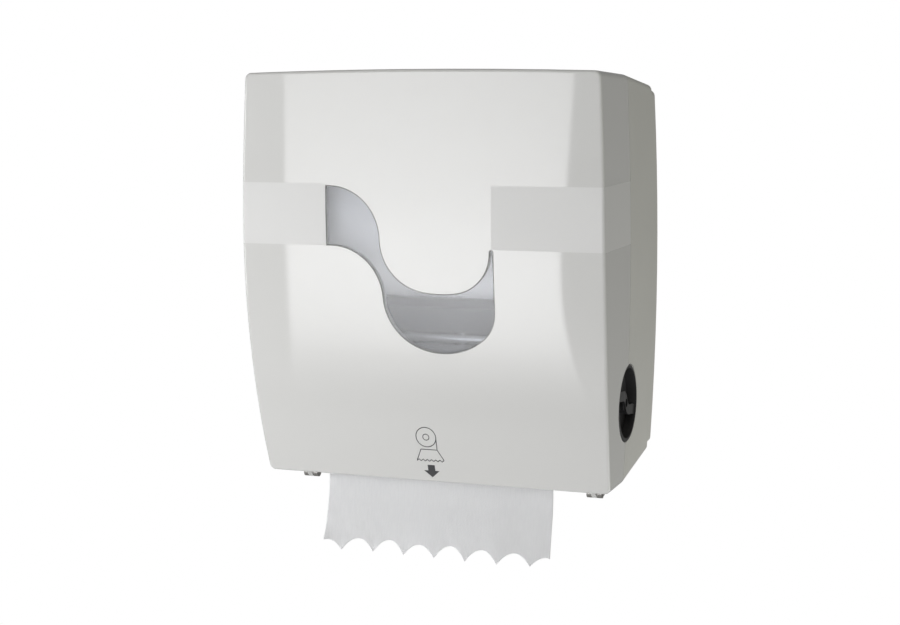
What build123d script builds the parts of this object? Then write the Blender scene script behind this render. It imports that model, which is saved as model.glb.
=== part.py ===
"""Wall-mounted roll towel dispenser: a two-part case round a drum that feeds and cuts the paper.

Axes: +X to the viewer's right, +Y into the wall, +Z up. The origin is the centre of the four
wall screw holes on the rear face, so depths from the wall are negative Y. Heights given as
"height" are measured up from the bottom edge of the case. Millimetres throughout.
"""
import os
from math import acos, atan2, cos, degrees, hypot, pi, radians, sin, sqrt

from build123d import *

os.makedirs("parts", exist_ok=True)

# --------------------------------------------------------------- driving dimensions: the case
case_width = 336.0            # widest, at the parting line
case_height = 371.0           # front face, bottom edge to top corner
case_depth = 223.0            # wall to the upper front face
bottom_z = -235.0             # bottom edge, below the centre of the wall screws
wall = 2.8                    # moulded wall
side_bow = 4.8                # each side bulges by this at mid height
crown = 2.5                   # the top rises by this in the middle
corner_radius = 6.0
edge_radius = 2.6             # rounding round the front face
front_radius = 763.0          # the front curves back below the straight upper part
straight_height = 264.0       # where that curve starts
parting_depth = 129.0         # seam between housing and cover
parting_gap = 0.5
plinth_depth = 18.0           # the foot of the housing on the wall
plinth_step = 5.5
plinth_side_step = 1.0
rear_side_inset = 4.3         # the housing narrows towards the wall, each side
rear_top_drop = 14.4
parting_top_drop = 4.2
rear_bottom_rise = 9.6
tongue_gap = 0.3              # housing rim that the cover closes over
tongue_wall = 1.3
tongue_reach = 6.0

# ------------------------------------------------------------- driving dimensions: wall fixing
screw_pattern_x = 200.0
screw_pattern_z = 180.0
wall_hole_radius = 2.75
wall_boss_radius = 8.0
wall_boss_height = 4.0

# ---------------------------------------------------------------- driving dimensions: window
stem_top_height = 271.6       # the window starts level with the matte band
stem_bottom_height = 217.5
stem_left = -86.0
upper_bend_x = -82.5          # centre of the bend of the stem's upper edge
upper_bend_radius = 47.6
lower_bend_x = -80.9
lower_bend_radius = 47.0
pane_gap = 0.15
pane_recess = 0.4
pane_flange = 7.0
pane_flange_thickness = 1.6
stake_radius = 1.6
stake_clip_radius = 3.4
stake_clip_thickness = 0.8

# ------------------------------------------------------- driving dimensions: paper and its roll
towel_width = 216.0
towel_thickness = 0.4
core_inner_radius = 19.05
core_wall = 1.9
roll_used = 8.0               # paper already taken off the full roll's radius
roll_top_gap = 17.0           # full roll to the top wall
roll_front_gap = 8.0
roll_depth = 116.0
tail_length = 71.0            # below the case
tail_lean = 15.0              # degrees, towards the user
tail_bend_radius = 75.0
exit_depth = 163.0            # where the web passes the bottom edge
cut_pitch = 30.2
cut_depth = 11.0

# ------------------------------------------------------ driving dimensions: drum, knife, rollers
drum_radius = 44.5            # one turn feeds 280 mm
drum_height = 74.0
drum_depth = 125.0
drum_wall = 3.0
drum_end_gap = 5.0            # drum end cap to side frame, room for the knife cam
cap_thickness = 4.0
cap_screw_ring = drum_radius - 7.5
stub_radius = 8.0
stub_flat = 1.5               # depth of the two flats that drive what the stub carries
running_clearance = 0.05      # radial
static_clearance = 0.05
bush_wall = 3.0
bush_flange_radius = 13.5
bush_flange = 1.8
slot_angle = -5.0             # where the knife faces at rest, from +Y towards +Z
slot_low = -21.0              # edges of the drum's slot, either side of the knife
slot_high = 7.0
grip_depth = 1.0
grip_width = 12.0
grip_count = 5
nip_gap = 0.3
pinch_radius = 12.0
pinch_shaft_radius = 3.0
pinch_angle = 55.0            # pinch roller above and behind the drum
pinch_sleeve_count = 4
knife_pivot_radial = drum_radius - 20.5
knife_pivot_offset = 16.5 - drum_radius
knife_pin_radius = 2.5
blade_thickness = 1.0
blade_reach = drum_radius - 4.5     # tip radius when drawn in
blade_root = drum_radius - 17.5
blade_screw_radial = drum_radius - 14.5
knife_swing = 22.0            # degrees
cam_follower_radial = 20.0
cam_follower_offset = -8.0
cam_base_radius = 17.0
cam_nose_radius = 2.9         # a low nose, which the passing follower just clears
cam_angle = 135.0             # drum turn from rest at which the knife strikes
cam_thickness = 3.4
cam_screw_radius = 1.25

# --------------------------------------------------------------- driving dimensions: frames etc.
frame_thickness = 2.5
frame_web_gap = 8.5           # towel edge to frame
frame_front_depth = 173.0
frame_bottom_height = 14.0
frame_top_height = 140.0
frame_boss_height = 6.0
frame_flange_width = 13.0
fixing_radius = 1.75          # thread-forming screws
fixing_head_radius = 3.4
fixing_head = 2.0
wheel_radius = 35.0           # black hand wheel
wheel_hole_radius = 35.6
wheel_inset = 0.4             # its rim lies this far inside the case side
wheel_rim = 3.0
wheel_dish = 9.0
wheel_thickness = 14.0
wheel_rib = 9.0
ratchet_radius = 23.0
ratchet_root = 19.5
pawl_angle = 97.8             # where the pawl rides on the wheel
pawl_clearance = 0.05         # its tip to the crest of a tooth
pawl_tip_radius = 0.8
pawl_pivot_radius = 36.0
pawl_pivot_angle = 62.0
ratchet_teeth = 12
ratchet_thickness = 3.6
crank_radius = 16.0
crank_disc_radius = 20.5
crank_angle = -10.0           # towards the spring post, so the spring is shortest at rest
spring_post_distance = 62.0
crank_thickness = 3.0
spring_wire = 1.0
spring_outer_radius = 3.5
spring_leg = 3.0
hinge_x = 138.4               # middle of each hinge at the bottom corners
hinge_drop = 8.0              # hinge line below the case
hinge_depth = 131.5
knuckle_radius = 5.5
knuckle_width = 4.4
knuckle_gap = 0.35
hinge_pin_radius = 2.0
hinge_plate = 1.5
lock_depth = 152.0
lock_radius = 7.5
lock_barrel_length = 16.0
lock_cam_length = 22.0
lock_cam_width = 10.0
lock_cam_thickness = 2.5
arm_thickness = 4.0
arm_width = 26.0
arm_base_height = 62.0
arm_base_thickness = 3.0
arm_stub_length = 12.0
arm_stub_radius = 6.0
arm_pin_x = 119.0             # upright pin on which the right arm swings out
arm_pin_depth = 21.0
arm_pin_radius = 2.0
arm_knuckle_height = 28.0
plug_radius = 18.7
plug_nose_radius = 15.5

# ------------------------------------------------------------------------------ derived places
top_z = bottom_z + case_height
half_width = case_width / 2
drum_y = -drum_depth
drum_z = bottom_z + drum_height
roll_y = -roll_depth
inner_top_z = top_z - parting_top_drop - wall
pinch_distance = drum_radius + 2 * nip_gap + towel_thickness + pinch_radius
pinch_y = drum_y + pinch_distance * cos(radians(pinch_angle))
pinch_z = drum_z + pinch_distance * sin(radians(pinch_angle))
full_roll_by_height = (inner_top_z - roll_top_gap - (pinch_z + pinch_radius + 10.0)) / 2
full_roll_by_depth = case_depth - wall - roll_front_gap - roll_depth
full_roll_radius = min(full_roll_by_height, full_roll_by_depth)
roll_z = inner_top_z - roll_top_gap - full_roll_radius
roll_radius = full_roll_radius - roll_used
core_outer_radius = core_inner_radius + core_wall
frame_inner_x = towel_width / 2 + frame_web_gap - frame_thickness
frame_outer_x = frame_inner_x + frame_thickness
drum_half_length = frame_inner_x - drum_end_gap
frame_flange_y = -(wall + frame_boss_height)
web_radius = drum_radius + nip_gap + towel_thickness / 2


def side_at_height(height):
    """Half width of the case at its parting line, at a height above the bottom edge."""
    middle = (case_height - parting_top_drop) / 2
    return half_width - side_bow * ((height - middle) / middle) ** 2


# ---------------------------------------------------------------------------- shared geometry
def section_at(depth, inset=0.0, step=0.0, side_step=0.0):
    """Upright section of the case at a depth: bowed sides, crowned top, flat bottom."""
    rear_share = (parting_depth - depth) / (parting_depth - plinth_depth)
    if rear_share > 0:
        side = half_width - rear_side_inset * rear_share
        top = top_z - parting_top_drop - (rear_top_drop - parting_top_drop) * rear_share
        low = bottom_z + rear_bottom_rise * rear_share
    else:
        side = half_width
        top = top_z - parting_top_drop * (case_depth - depth) / (case_depth - parting_depth)
        low = bottom_z
    middle_x = side - inset - side_step
    corner_x = middle_x - side_bow
    top = top - inset - step
    low = low + inset + step
    with BuildSketch(Plane.XZ.offset(depth)) as section:
        with BuildLine():
            Line((-corner_x, low), (corner_x, low))
            ThreePointArc((corner_x, low), (middle_x, (low + top) / 2), (corner_x, top))
            ThreePointArc((corner_x, top), (0, top + crown), (-corner_x, top))
            ThreePointArc((-corner_x, top), (-middle_x, (low + top) / 2), (-corner_x, low))
        make_face()
        fillet(section.vertices(), corner_radius - inset)
    return section.sketch


def front_curve(inset, reach):
    """Side view of the front face, pushed in by an inset, from the bottom to the top."""
    centre_y = -case_depth + front_radius
    centre_z = bottom_z + straight_height
    radius = front_radius - inset

    def on_curve(z):
        return (centre_y - sqrt(radius**2 - (centre_z - z) ** 2), z)

    low = on_curve(bottom_z - reach)
    middle = on_curve((bottom_z - reach + centre_z) / 2)
    return low, middle, (centre_y - radius, centre_z), (centre_y - radius, top_z + reach)


def front_y(height, inset=0.0):
    """Depth coordinate of the front face at a height above the bottom edge."""
    below = max(straight_height - height, 0.0)
    return -case_depth + front_radius - sqrt((front_radius - inset) ** 2 - below**2)


def behind_front(inset, rear_y=20.0, reach=20.0):
    """Block of all that lies behind the front face, pushed in by an inset."""
    low, middle, high, top = front_curve(inset, reach)
    with BuildPart() as block:
        with BuildSketch(Plane.YZ):
            with BuildLine():
                ThreePointArc(low, middle, high)
                Polyline(high, top, (rear_y, top[1]), (rear_y, low[1]), low)
            make_face()
        extrude(amount=case_width, both=True)
    return block.part


def cover_block(inset, start_depth):
    """Solid block of the front half of the case, pushed in by an inset."""
    with BuildPart() as block:
        loft([section_at(start_depth, inset), section_at(case_depth + 8, inset)], ruled=True)
        add(behind_front(inset), mode=Mode.INTERSECT)
    return block.part


def window_outline():
    """Outline of the window, a stem that bends down into a bowl: (x, height above bottom)."""

    def at(x, height):
        return (x, bottom_z + height)

    upper_out = upper_bend_radius * sin(radians(45))
    upper_bend = stem_top_height - upper_bend_radius
    upper_x = upper_bend_x + upper_bend_radius
    lower_out = lower_bend_radius * sin(radians(45))
    lower_bend = stem_bottom_height - lower_bend_radius
    lower_x = lower_bend_x + lower_bend_radius
    with BuildLine() as outline:
        Line(at(stem_left, stem_bottom_height), at(stem_left, stem_top_height))
        Line(at(stem_left, stem_top_height), at(upper_bend_x, stem_top_height))
        ThreePointArc(
            at(upper_bend_x, stem_top_height),
            at(upper_bend_x + upper_out, upper_bend + upper_out),
            at(upper_x, upper_bend),
        )
        falling = TangentArc(at(upper_x, upper_bend), at(5.6, 178.1), tangent=(0, -1))
        lowest = TangentArc(falling @ 1, at(32.7, 178.0), tangent=falling % 1)
        rising = TangentArc(lowest @ 1, at(65.4, 215.6), tangent=lowest % 1)
        ThreePointArc(rising @ 1, at(67.5, 217.7), at(69.6, 215.6))
        Line(at(69.6, 215.6), at(69.8, 161.9))
        right = TangentArc(at(69.8, 161.9), at(57.5, 136.2), tangent=(0, -1))
        under = TangentArc(right @ 1, at(-1.3, 126.8), tangent=right % 1)
        left = TangentArc(under @ 1, at(lower_x, lower_bend), tangent=under % 1)
        ThreePointArc(
            left @ 1,
            at(lower_bend_x + lower_out, lower_bend + lower_out),
            at(lower_bend_x, stem_bottom_height),
        )
        Line(at(lower_bend_x, stem_bottom_height), at(stem_left, stem_bottom_height))
    return outline.line


def window_block(growth, front_depth=case_depth + 10, rear_depth=150.0):
    """Prism of the window outline, grown sideways by an amount."""
    with BuildPart() as block:
        with BuildSketch(Plane.XZ.offset(rear_depth)):
            add(window_outline())
            make_face()
            if growth:
                offset(amount=growth, kind=Kind.ARC)
        extrude(amount=front_depth - rear_depth)
    return block.part


def screws(places, length, direction, radius=fixing_radius, head=fixing_head):
    """Group of pan-head screws: each place is the seat of the head, the shank runs on."""
    head_radius = radius * fixing_head_radius / fixing_radius
    with BuildPart() as group:
        for place in places:
            seat = Plane(origin=place, z_dir=direction)
            with BuildSketch(seat):
                Circle(radius)
            extrude(amount=length)
            with BuildSketch(seat):
                Circle(head_radius)
                Rectangle(head_radius * 1.1, head_radius / 4, mode=Mode.SUBTRACT)
                Rectangle(head_radius / 4, head_radius * 1.1, mode=Mode.SUBTRACT)
            extrude(amount=-head)
            with BuildSketch(seat):
                Circle(head_radius)
            extrude(amount=-head / 2)
    return group.part


def coil_spring(x, start, end, start_radius, end_radius, turns):
    """Tension spring hooked on two pins that lie along X; start and end are pin centres (y, z)."""
    wire = spring_wire / 2
    radius = spring_outer_radius - wire
    length = hypot(end[0] - start[0], end[1] - start[1])
    low_bend = radius - wire - start_radius - 0.02
    high_bend = length - low_bend + start_radius - end_radius
    low, high = low_bend + spring_leg, high_bend - spring_leg
    with BuildPart() as spring:
        with BuildLine() as coil:
            Helix((high - low) / turns, high - low, radius, center=(0, 0, low))
        with BuildSketch(Plane(origin=coil.line @ 0, z_dir=coil.line % 0)):
            Circle(wire)
        sweep(path=coil.line, is_frenet=True)
        for bend, level, out in ((low_bend, low, -1), (high_bend, high, 1)):
            with BuildLine() as hook:
                Line((radius, 0, level), (radius, 0, bend))
                ThreePointArc((radius, 0, bend), (0, 0, bend + out * radius), (-radius, 0, bend))
            with BuildSketch(Plane(origin=(radius, 0, level), z_dir=(0, 0, out))):
                Circle(wire)
            sweep(path=hook.line)
            with Locations((radius, 0, level)):
                Sphere(wire)
    gap = (high - low) / turns - spring_wire
    print(f"coil spring at x {x:.1f}: {turns} turns, gap between turns {gap:.2f}")
    along = Vector(0, end[0] - start[0], end[1] - start[1]).normalized()
    across = Vector(0, -along.Z, along.Y)
    return spring.part.moved(Plane(origin=(x, *start), x_dir=across, z_dir=along).location)


def polar(radius, angle, centre_y=drum_y, centre_z=drum_z):
    """Point (y, z) on a circle round the drum, the angle from +Y towards +Z."""
    return (centre_y + radius * cos(radians(angle)), centre_z + radius * sin(radians(angle)))


def turned(point, pivot, angle):
    """Point (y, z) turned about a pivot, from +Y towards +Z."""
    dy, dz = point[0] - pivot[0], point[1] - pivot[1]
    c, s = cos(radians(angle)), sin(radians(angle))
    return (pivot[0] + dy * c - dz * s, pivot[1] + dy * s + dz * c)


def knife_frame(u, v):
    """Point (y, z) in the drum's own frame: u towards the knife's slot, v across it."""
    s = radians(slot_angle)
    return (drum_y + u * cos(s) - v * sin(s), drum_z + u * sin(s) + v * cos(s))


def save(piece, name):
    """Label a finished piece and write it as one STEP file."""
    piece.label = name
    export_step(piece, f"parts/{name}.step")


# -------------------------------------------------------------------------------- rear housing
wall_screw_places = [
    (x, z)
    for x in (-screw_pattern_x / 2, screw_pattern_x / 2)
    for z in (-screw_pattern_z / 2, screw_pattern_z / 2)
]
frame_flange_x = frame_outer_x + frame_flange_width / 2 - 1
frame_screw_heights = (frame_bottom_height + 17, frame_top_height - 14)
frame_screw_places = [
    (side * frame_flange_x, bottom_z + height)
    for side in (-1, 1)
    for height in frame_screw_heights
]
arm_inner_x = towel_width / 2 + 1.5
arm_base_x = arm_inner_x + arm_thickness + 7
arm_screw_places = [
    (side * arm_base_x, roll_z + offset_z)
    for side in (-1, 1)
    for offset_z in (-arm_base_height / 2 + 8, arm_base_height / 2 - 8)
]
lock_top_z = top_z - parting_top_drop * (case_depth - lock_depth) / (
    case_depth - parting_depth
) + crown
lock_cam_z = lock_top_z - lock_barrel_length
keeper_x = 11.0
keeper_thickness = 2.0
keeper_lug_depth = 114.0
keeper_screw_z = lock_cam_z + 4.0
keeper_screw_ys = (-keeper_lug_depth - 5, -keeper_lug_depth + 5)


with BuildPart() as rear_housing:
    loft(
        [section_at(plinth_depth), section_at(parting_depth - parting_gap / 2)],
        ruled=True,
    )
    extrude(section_at(plinth_depth, 0, plinth_step, plinth_side_step), amount=-plinth_depth)
    inner_plinth = section_at(plinth_depth, wall, plinth_step, plinth_side_step)
    extrude(inner_plinth, amount=-(plinth_depth - wall), mode=Mode.SUBTRACT)
    extrude(inner_plinth, amount=wall + 0.5, mode=Mode.SUBTRACT)
    loft(
        [section_at(plinth_depth + wall, wall), section_at(parting_depth + 1, wall)],
        ruled=True,
        mode=Mode.SUBTRACT,
    )
    # Rim inside the seam, which the cover closes over. It is left out along the bottom.
    rim_root = parting_depth - 9
    with BuildPart(mode=Mode.PRIVATE) as rim:
        loft(
            [
                section_at(rim_root, wall - 0.4),
                section_at(parting_depth - parting_gap / 2 - 1, wall - 0.4),
            ],
            ruled=True,
        )
        extrude(
            section_at(parting_depth, wall + tongue_gap),
            amount=tongue_reach,
        )
        extrude(section_at(parting_depth, wall + tongue_gap), amount=-2)
        extrude(
            section_at(parting_depth, wall + tongue_gap + tongue_wall),
            amount=tongue_reach + 5,
            both=True,
            mode=Mode.SUBTRACT,
        )
        with Locations((0, -parting_depth, bottom_z)):
            Box(case_width + 10, 60, 60, mode=Mode.SUBTRACT)
    add(rim.part)
    # Bosses round the wall screws, the frame screws and the roll arm screws.
    with BuildSketch(Plane.XZ.offset(wall - 0.5)):
        with Locations(*wall_screw_places):
            Circle(wall_boss_radius)
    extrude(amount=wall_boss_height + 0.5)
    with BuildSketch(Plane.XZ.offset(wall - 0.5)):
        with Locations(*frame_screw_places, *arm_screw_places):
            Circle(4.6)
    extrude(amount=frame_boss_height + 0.5)
    with BuildSketch(Plane.XZ.offset(-1)):
        with Locations(*wall_screw_places):
            Circle(wall_hole_radius)
    extrude(amount=wall + wall_boss_height + 2, mode=Mode.SUBTRACT)
    with BuildSketch(Plane.XZ.offset(0.8)):
        with Locations(*frame_screw_places, *arm_screw_places):
            Circle(fixing_radius + static_clearance)
    extrude(amount=wall + frame_boss_height + 2, mode=Mode.SUBTRACT)
    # Flat pads under the bottom wall for the hinge plates.
    with Locations(*[(side * hinge_x, -(parting_depth - 15), bottom_z + 2) for side in (-1, 1)]):
        Box(16, 2 * (15 - parting_gap / 2), 4)
    with BuildSketch(Plane.XY.offset(bottom_z)):
        with Locations(*[(side * hinge_x, -(parting_depth - 18)) for side in (-1, 1)]):
            with GridLocations(8.4, 9, 2, 2):
                Circle(1.25 + static_clearance)
    extrude(amount=3.4, mode=Mode.SUBTRACT)
    # Opening for the hand wheel.
    with BuildSketch(Plane.YZ.offset(half_width - 40)):
        with Locations((drum_y, drum_z)):
            Circle(wheel_hole_radius)
    extrude(amount=60, mode=Mode.SUBTRACT)
    # Lug for the lock keeper, under the top wall.
    with BuildSketch(Plane.YZ.offset(keeper_x + keeper_thickness)):
        with Locations((-keeper_lug_depth, keeper_screw_z + 1.75)):
            Rectangle(20, 12.5)
        with Locations(*[(y, keeper_screw_z) for y in keeper_screw_ys]):
            Circle(fixing_radius + static_clearance, mode=Mode.SUBTRACT)
    extrude(amount=8)
save(rear_housing.part, "rear_housing")

# -------------------------------------------------------------------------------- front cover
exit_half_width = towel_width / 2 + 8
exit_front_y = -(exit_depth + 8.5)
hinge_z = bottom_z - hinge_drop
stake_offset = 4.0            # stake centres stand this far outside the window's outline
bend_in = (lower_bend_radius - stake_offset) * sin(radians(45))
bend_out = (upper_bend_radius + stake_offset) * sin(radians(45))
stake_places = [
    (stem_left - stake_offset, (stem_top_height + stem_bottom_height) / 2),
    (upper_bend_x + bend_out, stem_top_height - upper_bend_radius + bend_out),
    (lower_bend_x + bend_in, stem_bottom_height - lower_bend_radius + bend_in),
    (21.0, 177.1 + stake_offset),
    (69.7 + stake_offset, 185.0),
    (26.0, 122.9 - stake_offset),
]


def knuckle_profile(foot_front, foot_rear, foot_z):
    """Side view of a hinge ear: an eye round the pin, joined to a foot above it."""
    with BuildSketch(Plane.YZ) as profile:
        with Locations((-hinge_depth, hinge_z)):
            Circle(knuckle_radius)
        with Locations(((foot_front + foot_rear) / 2, foot_z)):
            Rectangle(abs(foot_front - foot_rear), 0.2)
        make_hull()
        with Locations((-hinge_depth, hinge_z)):
            Circle(hinge_pin_radius + running_clearance, mode=Mode.SUBTRACT)
    return profile.sketch


with BuildPart() as front_cover:
    add(cover_block(0.0, parting_depth + parting_gap / 2))
    front_faces = front_cover.faces().filter_by(lambda face: face.normal_at().Y < -0.85)
    rim_edges = [
        edge
        for edge in front_faces.edges()
        if sum(edge in face.edges() for face in front_faces) == 1
    ]
    fillet(rim_edges, edge_radius)
    add(cover_block(wall, parting_depth - 1), mode=Mode.SUBTRACT)
    add(window_block(0.0), mode=Mode.SUBTRACT)
    # Slot for the paper, open towards the seam.
    with Locations((0, (exit_front_y - parting_depth + 5) / 2, bottom_z)):
        Box(2 * exit_half_width, abs(exit_front_y + parting_depth - 5), 20, mode=Mode.SUBTRACT)
    with BuildSketch(Plane.YZ.offset(half_width - 40)):
        with Locations((drum_y, drum_z)):
            Circle(wheel_hole_radius)
    extrude(amount=60, mode=Mode.SUBTRACT)
    # Seat for the lock in the top wall.
    with BuildSketch(Plane.XY.offset(top_z - 30)):
        with Locations((0, -lock_depth)):
            Circle(lock_radius + static_clearance)
    extrude(amount=60, mode=Mode.SUBTRACT)
    # Stakes that pass through the flange of the window pane.
    for x, height in stake_places:
        face_y = front_y(height, wall)
        with BuildSketch(Plane.XZ.offset(-(face_y + 3.4))):
            with Locations((x, bottom_z + height)):
                Circle(stake_radius)
        extrude(amount=3.4 + 0.8)
    # Hinge eyes under the bottom corners.
    for side in (-1, 1):
        extrude(
            knuckle_profile(-151, -137, bottom_z + 0.4).moved(
                Location((side * hinge_x - knuckle_width / 2, 0, 0))
            ),
            amount=knuckle_width,
            dir=(1, 0, 0),
        )
save(front_cover.part, "front_cover")

# ------------------------------------------------------------------------------------- window
with BuildPart() as window_pane:
    add(window_block(-pane_gap))
    add(behind_front(pane_recess), mode=Mode.INTERSECT)
    add(behind_front(wall), mode=Mode.SUBTRACT)
    with BuildPart(mode=Mode.PRIVATE) as flange:
        add(window_block(pane_flange))
        add(behind_front(wall), mode=Mode.INTERSECT)
        add(behind_front(wall + pane_flange_thickness), mode=Mode.SUBTRACT)
    add(flange.part)
    with BuildSketch(Plane.XZ.offset(case_depth - 60)):
        with Locations(*[(x, bottom_z + height) for x, height in stake_places]):
            Circle(stake_radius + pane_gap)
    extrude(amount=70, mode=Mode.SUBTRACT)
save(window_pane.part, "window_pane")

with BuildPart() as window_clips:
    for x, height in stake_places:
        slope = max(straight_height - height, 0.0) / front_radius
        seat_y = front_y(height, wall + pane_flange_thickness) + stake_clip_radius * slope + 0.1
        with BuildSketch(Plane.XZ.offset(-(seat_y + stake_clip_thickness))):
            with Locations((x, bottom_z + height)):
                Circle(stake_clip_radius)
                Circle(stake_radius + static_clearance, mode=Mode.SUBTRACT)
        extrude(amount=stake_clip_thickness)
save(window_clips.part, "window_clips")

# --------------------------------------------------------------------------------------- hinges
with BuildPart() as hinge_left:
    with Locations((-hinge_x, -(parting_depth - 13.5), bottom_z - hinge_plate / 2)):
        Box(15, 25, hinge_plate)
    with BuildSketch(Plane.XY.offset(bottom_z)):
        with Locations((-hinge_x, -(parting_depth - 18))):
            with GridLocations(8.4, 9, 2, 2):
                Circle(1.25 + 0.2)
    extrude(amount=-2 * hinge_plate, mode=Mode.SUBTRACT)
    for side in (-1, 1):
        ear_x = -hinge_x + side * (knuckle_width + knuckle_gap) - knuckle_width / 2
        extrude(
            knuckle_profile(-(parting_depth - 1.2), -(parting_depth - 10), bottom_z - 1.2).moved(
                Location((ear_x, 0, 0))
            ),
            amount=knuckle_width,
            dir=(1, 0, 0),
        )
save(hinge_left.part, "hinge_left")
hinge_right = mirror(hinge_left.part, about=Plane.YZ)
save(hinge_right, "hinge_right")

pin_half = 1.5 * knuckle_width + knuckle_gap + 0.3
with BuildPart() as hinge_pins:
    for side in (-1, 1):
        with BuildSketch(Plane.YZ.offset(side * hinge_x - pin_half)):
            with Locations((-hinge_depth, hinge_z)):
                Circle(hinge_pin_radius)
        extrude(amount=2 * pin_half)
        with BuildSketch(Plane.YZ.offset(side * (hinge_x + pin_half))):
            with Locations((-hinge_depth, hinge_z)):
                Circle(hinge_pin_radius + 1)
        extrude(amount=side * 1.0)
save(hinge_pins.part, "hinge_pins")

hinge_screw_places = [
    (side * hinge_x + dx, -(parting_depth - 18) + dy, bottom_z - hinge_plate)
    for side in (-1, 1)
    for dx in (-4.2, 4.2)
    for dy in (-4.5, 4.5)
]
save(screws(hinge_screw_places, 4.4, (0, 0, 1), radius=1.25, head=1.2), "hinge_screws")

# ----------------------------------------------------------------------------------------- lock
with BuildPart() as lock_barrel:
    with BuildSketch(Plane.XY.offset(lock_cam_z)):
        with Locations((0, -lock_depth)):
            Circle(lock_radius)
    extrude(amount=lock_top_z + 0.5 - lock_cam_z)
    with BuildSketch(Plane.XY.offset(lock_top_z + 0.5)):
        with Locations((0, -lock_depth)):
            Circle(lock_radius + 2)
    extrude(amount=1.6)
    chamfer(lock_barrel.faces().sort_by(Axis.Z)[-1].edges(), 0.5)
    with Locations((0, -lock_depth, lock_top_z + 1.6)):
        Box(1.8, 6.5, 8, mode=Mode.SUBTRACT)
save(lock_barrel.part, "lock_barrel")

with BuildPart() as lock_nut:
    with BuildSketch(Plane.XY.offset(lock_top_z - wall - 0.6)):
        with Locations((0, -lock_depth)):
            RegularPolygon(lock_radius + 4.5, 6)
            Circle(lock_radius + static_clearance, mode=Mode.SUBTRACT)
    extrude(amount=-3.5)
save(lock_nut.part, "lock_nut")

with BuildPart() as lock_cam:
    with BuildSketch(Plane.XY.offset(lock_cam_z)):
        with Locations((0, -lock_depth)):
            Circle(lock_radius)
        with Locations((lock_cam_length / 2, -lock_depth)):
            Rectangle(lock_cam_length, lock_cam_width)
    extrude(amount=-lock_cam_thickness)
save(lock_cam.part, "lock_cam")

with BuildPart() as lock_keeper:
    slot_rear_y = -(parting_depth - 4)
    slot_front_y = -(lock_depth + lock_cam_width / 2 + 1)
    front_end_y = slot_front_y - 4
    rear_end_y = -(keeper_lug_depth - 11)
    with BuildSketch(Plane.YZ.offset(keeper_x)):
        with Locations(((front_end_y + rear_end_y) / 2, keeper_screw_z - 3)):
            Rectangle(rear_end_y - front_end_y, 14.5)
        with Locations(((slot_front_y + slot_rear_y) / 2, lock_cam_z - lock_cam_thickness / 2)):
            Rectangle(slot_rear_y - slot_front_y, lock_cam_thickness + 3, mode=Mode.SUBTRACT)
        with Locations(*[(y, keeper_screw_z) for y in keeper_screw_ys]):
            Circle(fixing_radius + 0.2, mode=Mode.SUBTRACT)
    extrude(amount=keeper_thickness)
save(lock_keeper.part, "lock_keeper")
keeper_screw_places = [(keeper_x, y, keeper_screw_z) for y in keeper_screw_ys]
save(screws(keeper_screw_places, 8.0, (1, 0, 0)), "keeper_screws")

# ---------------------------------------------------------------------------------- side frames
yoke_y = pinch_y + 34.0
yoke_z = pinch_z - 3.0
tie_y = -158.0
tie_z = bottom_z + 130.0
guide_screw = (drum_y, drum_z - drum_radius - 10.5)
knife_pivot = knife_frame(knife_pivot_radial, knife_pivot_offset)
follower = knife_frame(cam_follower_radial, cam_follower_offset)
follower_out = turned(follower, knife_pivot, -knife_swing)
follower_radius = hypot(cam_follower_radial, cam_follower_offset)
cam_direction = slot_angle + degrees(atan2(cam_follower_offset, cam_follower_radial)) + cam_angle
cam_nose = polar(follower_radius - knife_pin_radius - cam_nose_radius - 0.1, cam_direction)
post_radius = 2.2
pinch_spring_x = frame_outer_x + spring_outer_radius + 0.5
ratchet_start = frame_outer_x + bush_flange + 0.5
crank_start = ratchet_start + ratchet_thickness
crank_end = crank_start + crank_thickness
ratchet_reach = crank_start - frame_outer_x
return_spring_x = crank_end + fixing_head + 0.6 + spring_outer_radius
pinch_post = (pinch_y + 2, pinch_z - 36)
spring_post = polar(spring_post_distance, crank_angle)
pawl_pivot = polar(pawl_pivot_radius, pawl_pivot_angle)
pinch_lift = 5.0              # degrees

# The pawl's own frame: s runs from its pivot to its tip, t away from the drum axis.
pawl_tip = polar(ratchet_radius + pawl_tip_radius + pawl_clearance, pawl_angle)
pawl_heading = degrees(atan2(pawl_tip[1] - pawl_pivot[1], pawl_tip[0] - pawl_pivot[0]))


def by_pawl(s, t):
    """Point (y, z) at a distance along the pawl and a distance above it."""
    c, q = cos(radians(pawl_heading)), sin(radians(pawl_heading))
    return (pawl_pivot[0] + s * c + t * q, pawl_pivot[1] + s * q - t * c)


leaf_post = by_pawl(-2.0, 9.0)
leaf_stop = by_pawl(-9.2, 9.3)


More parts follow.
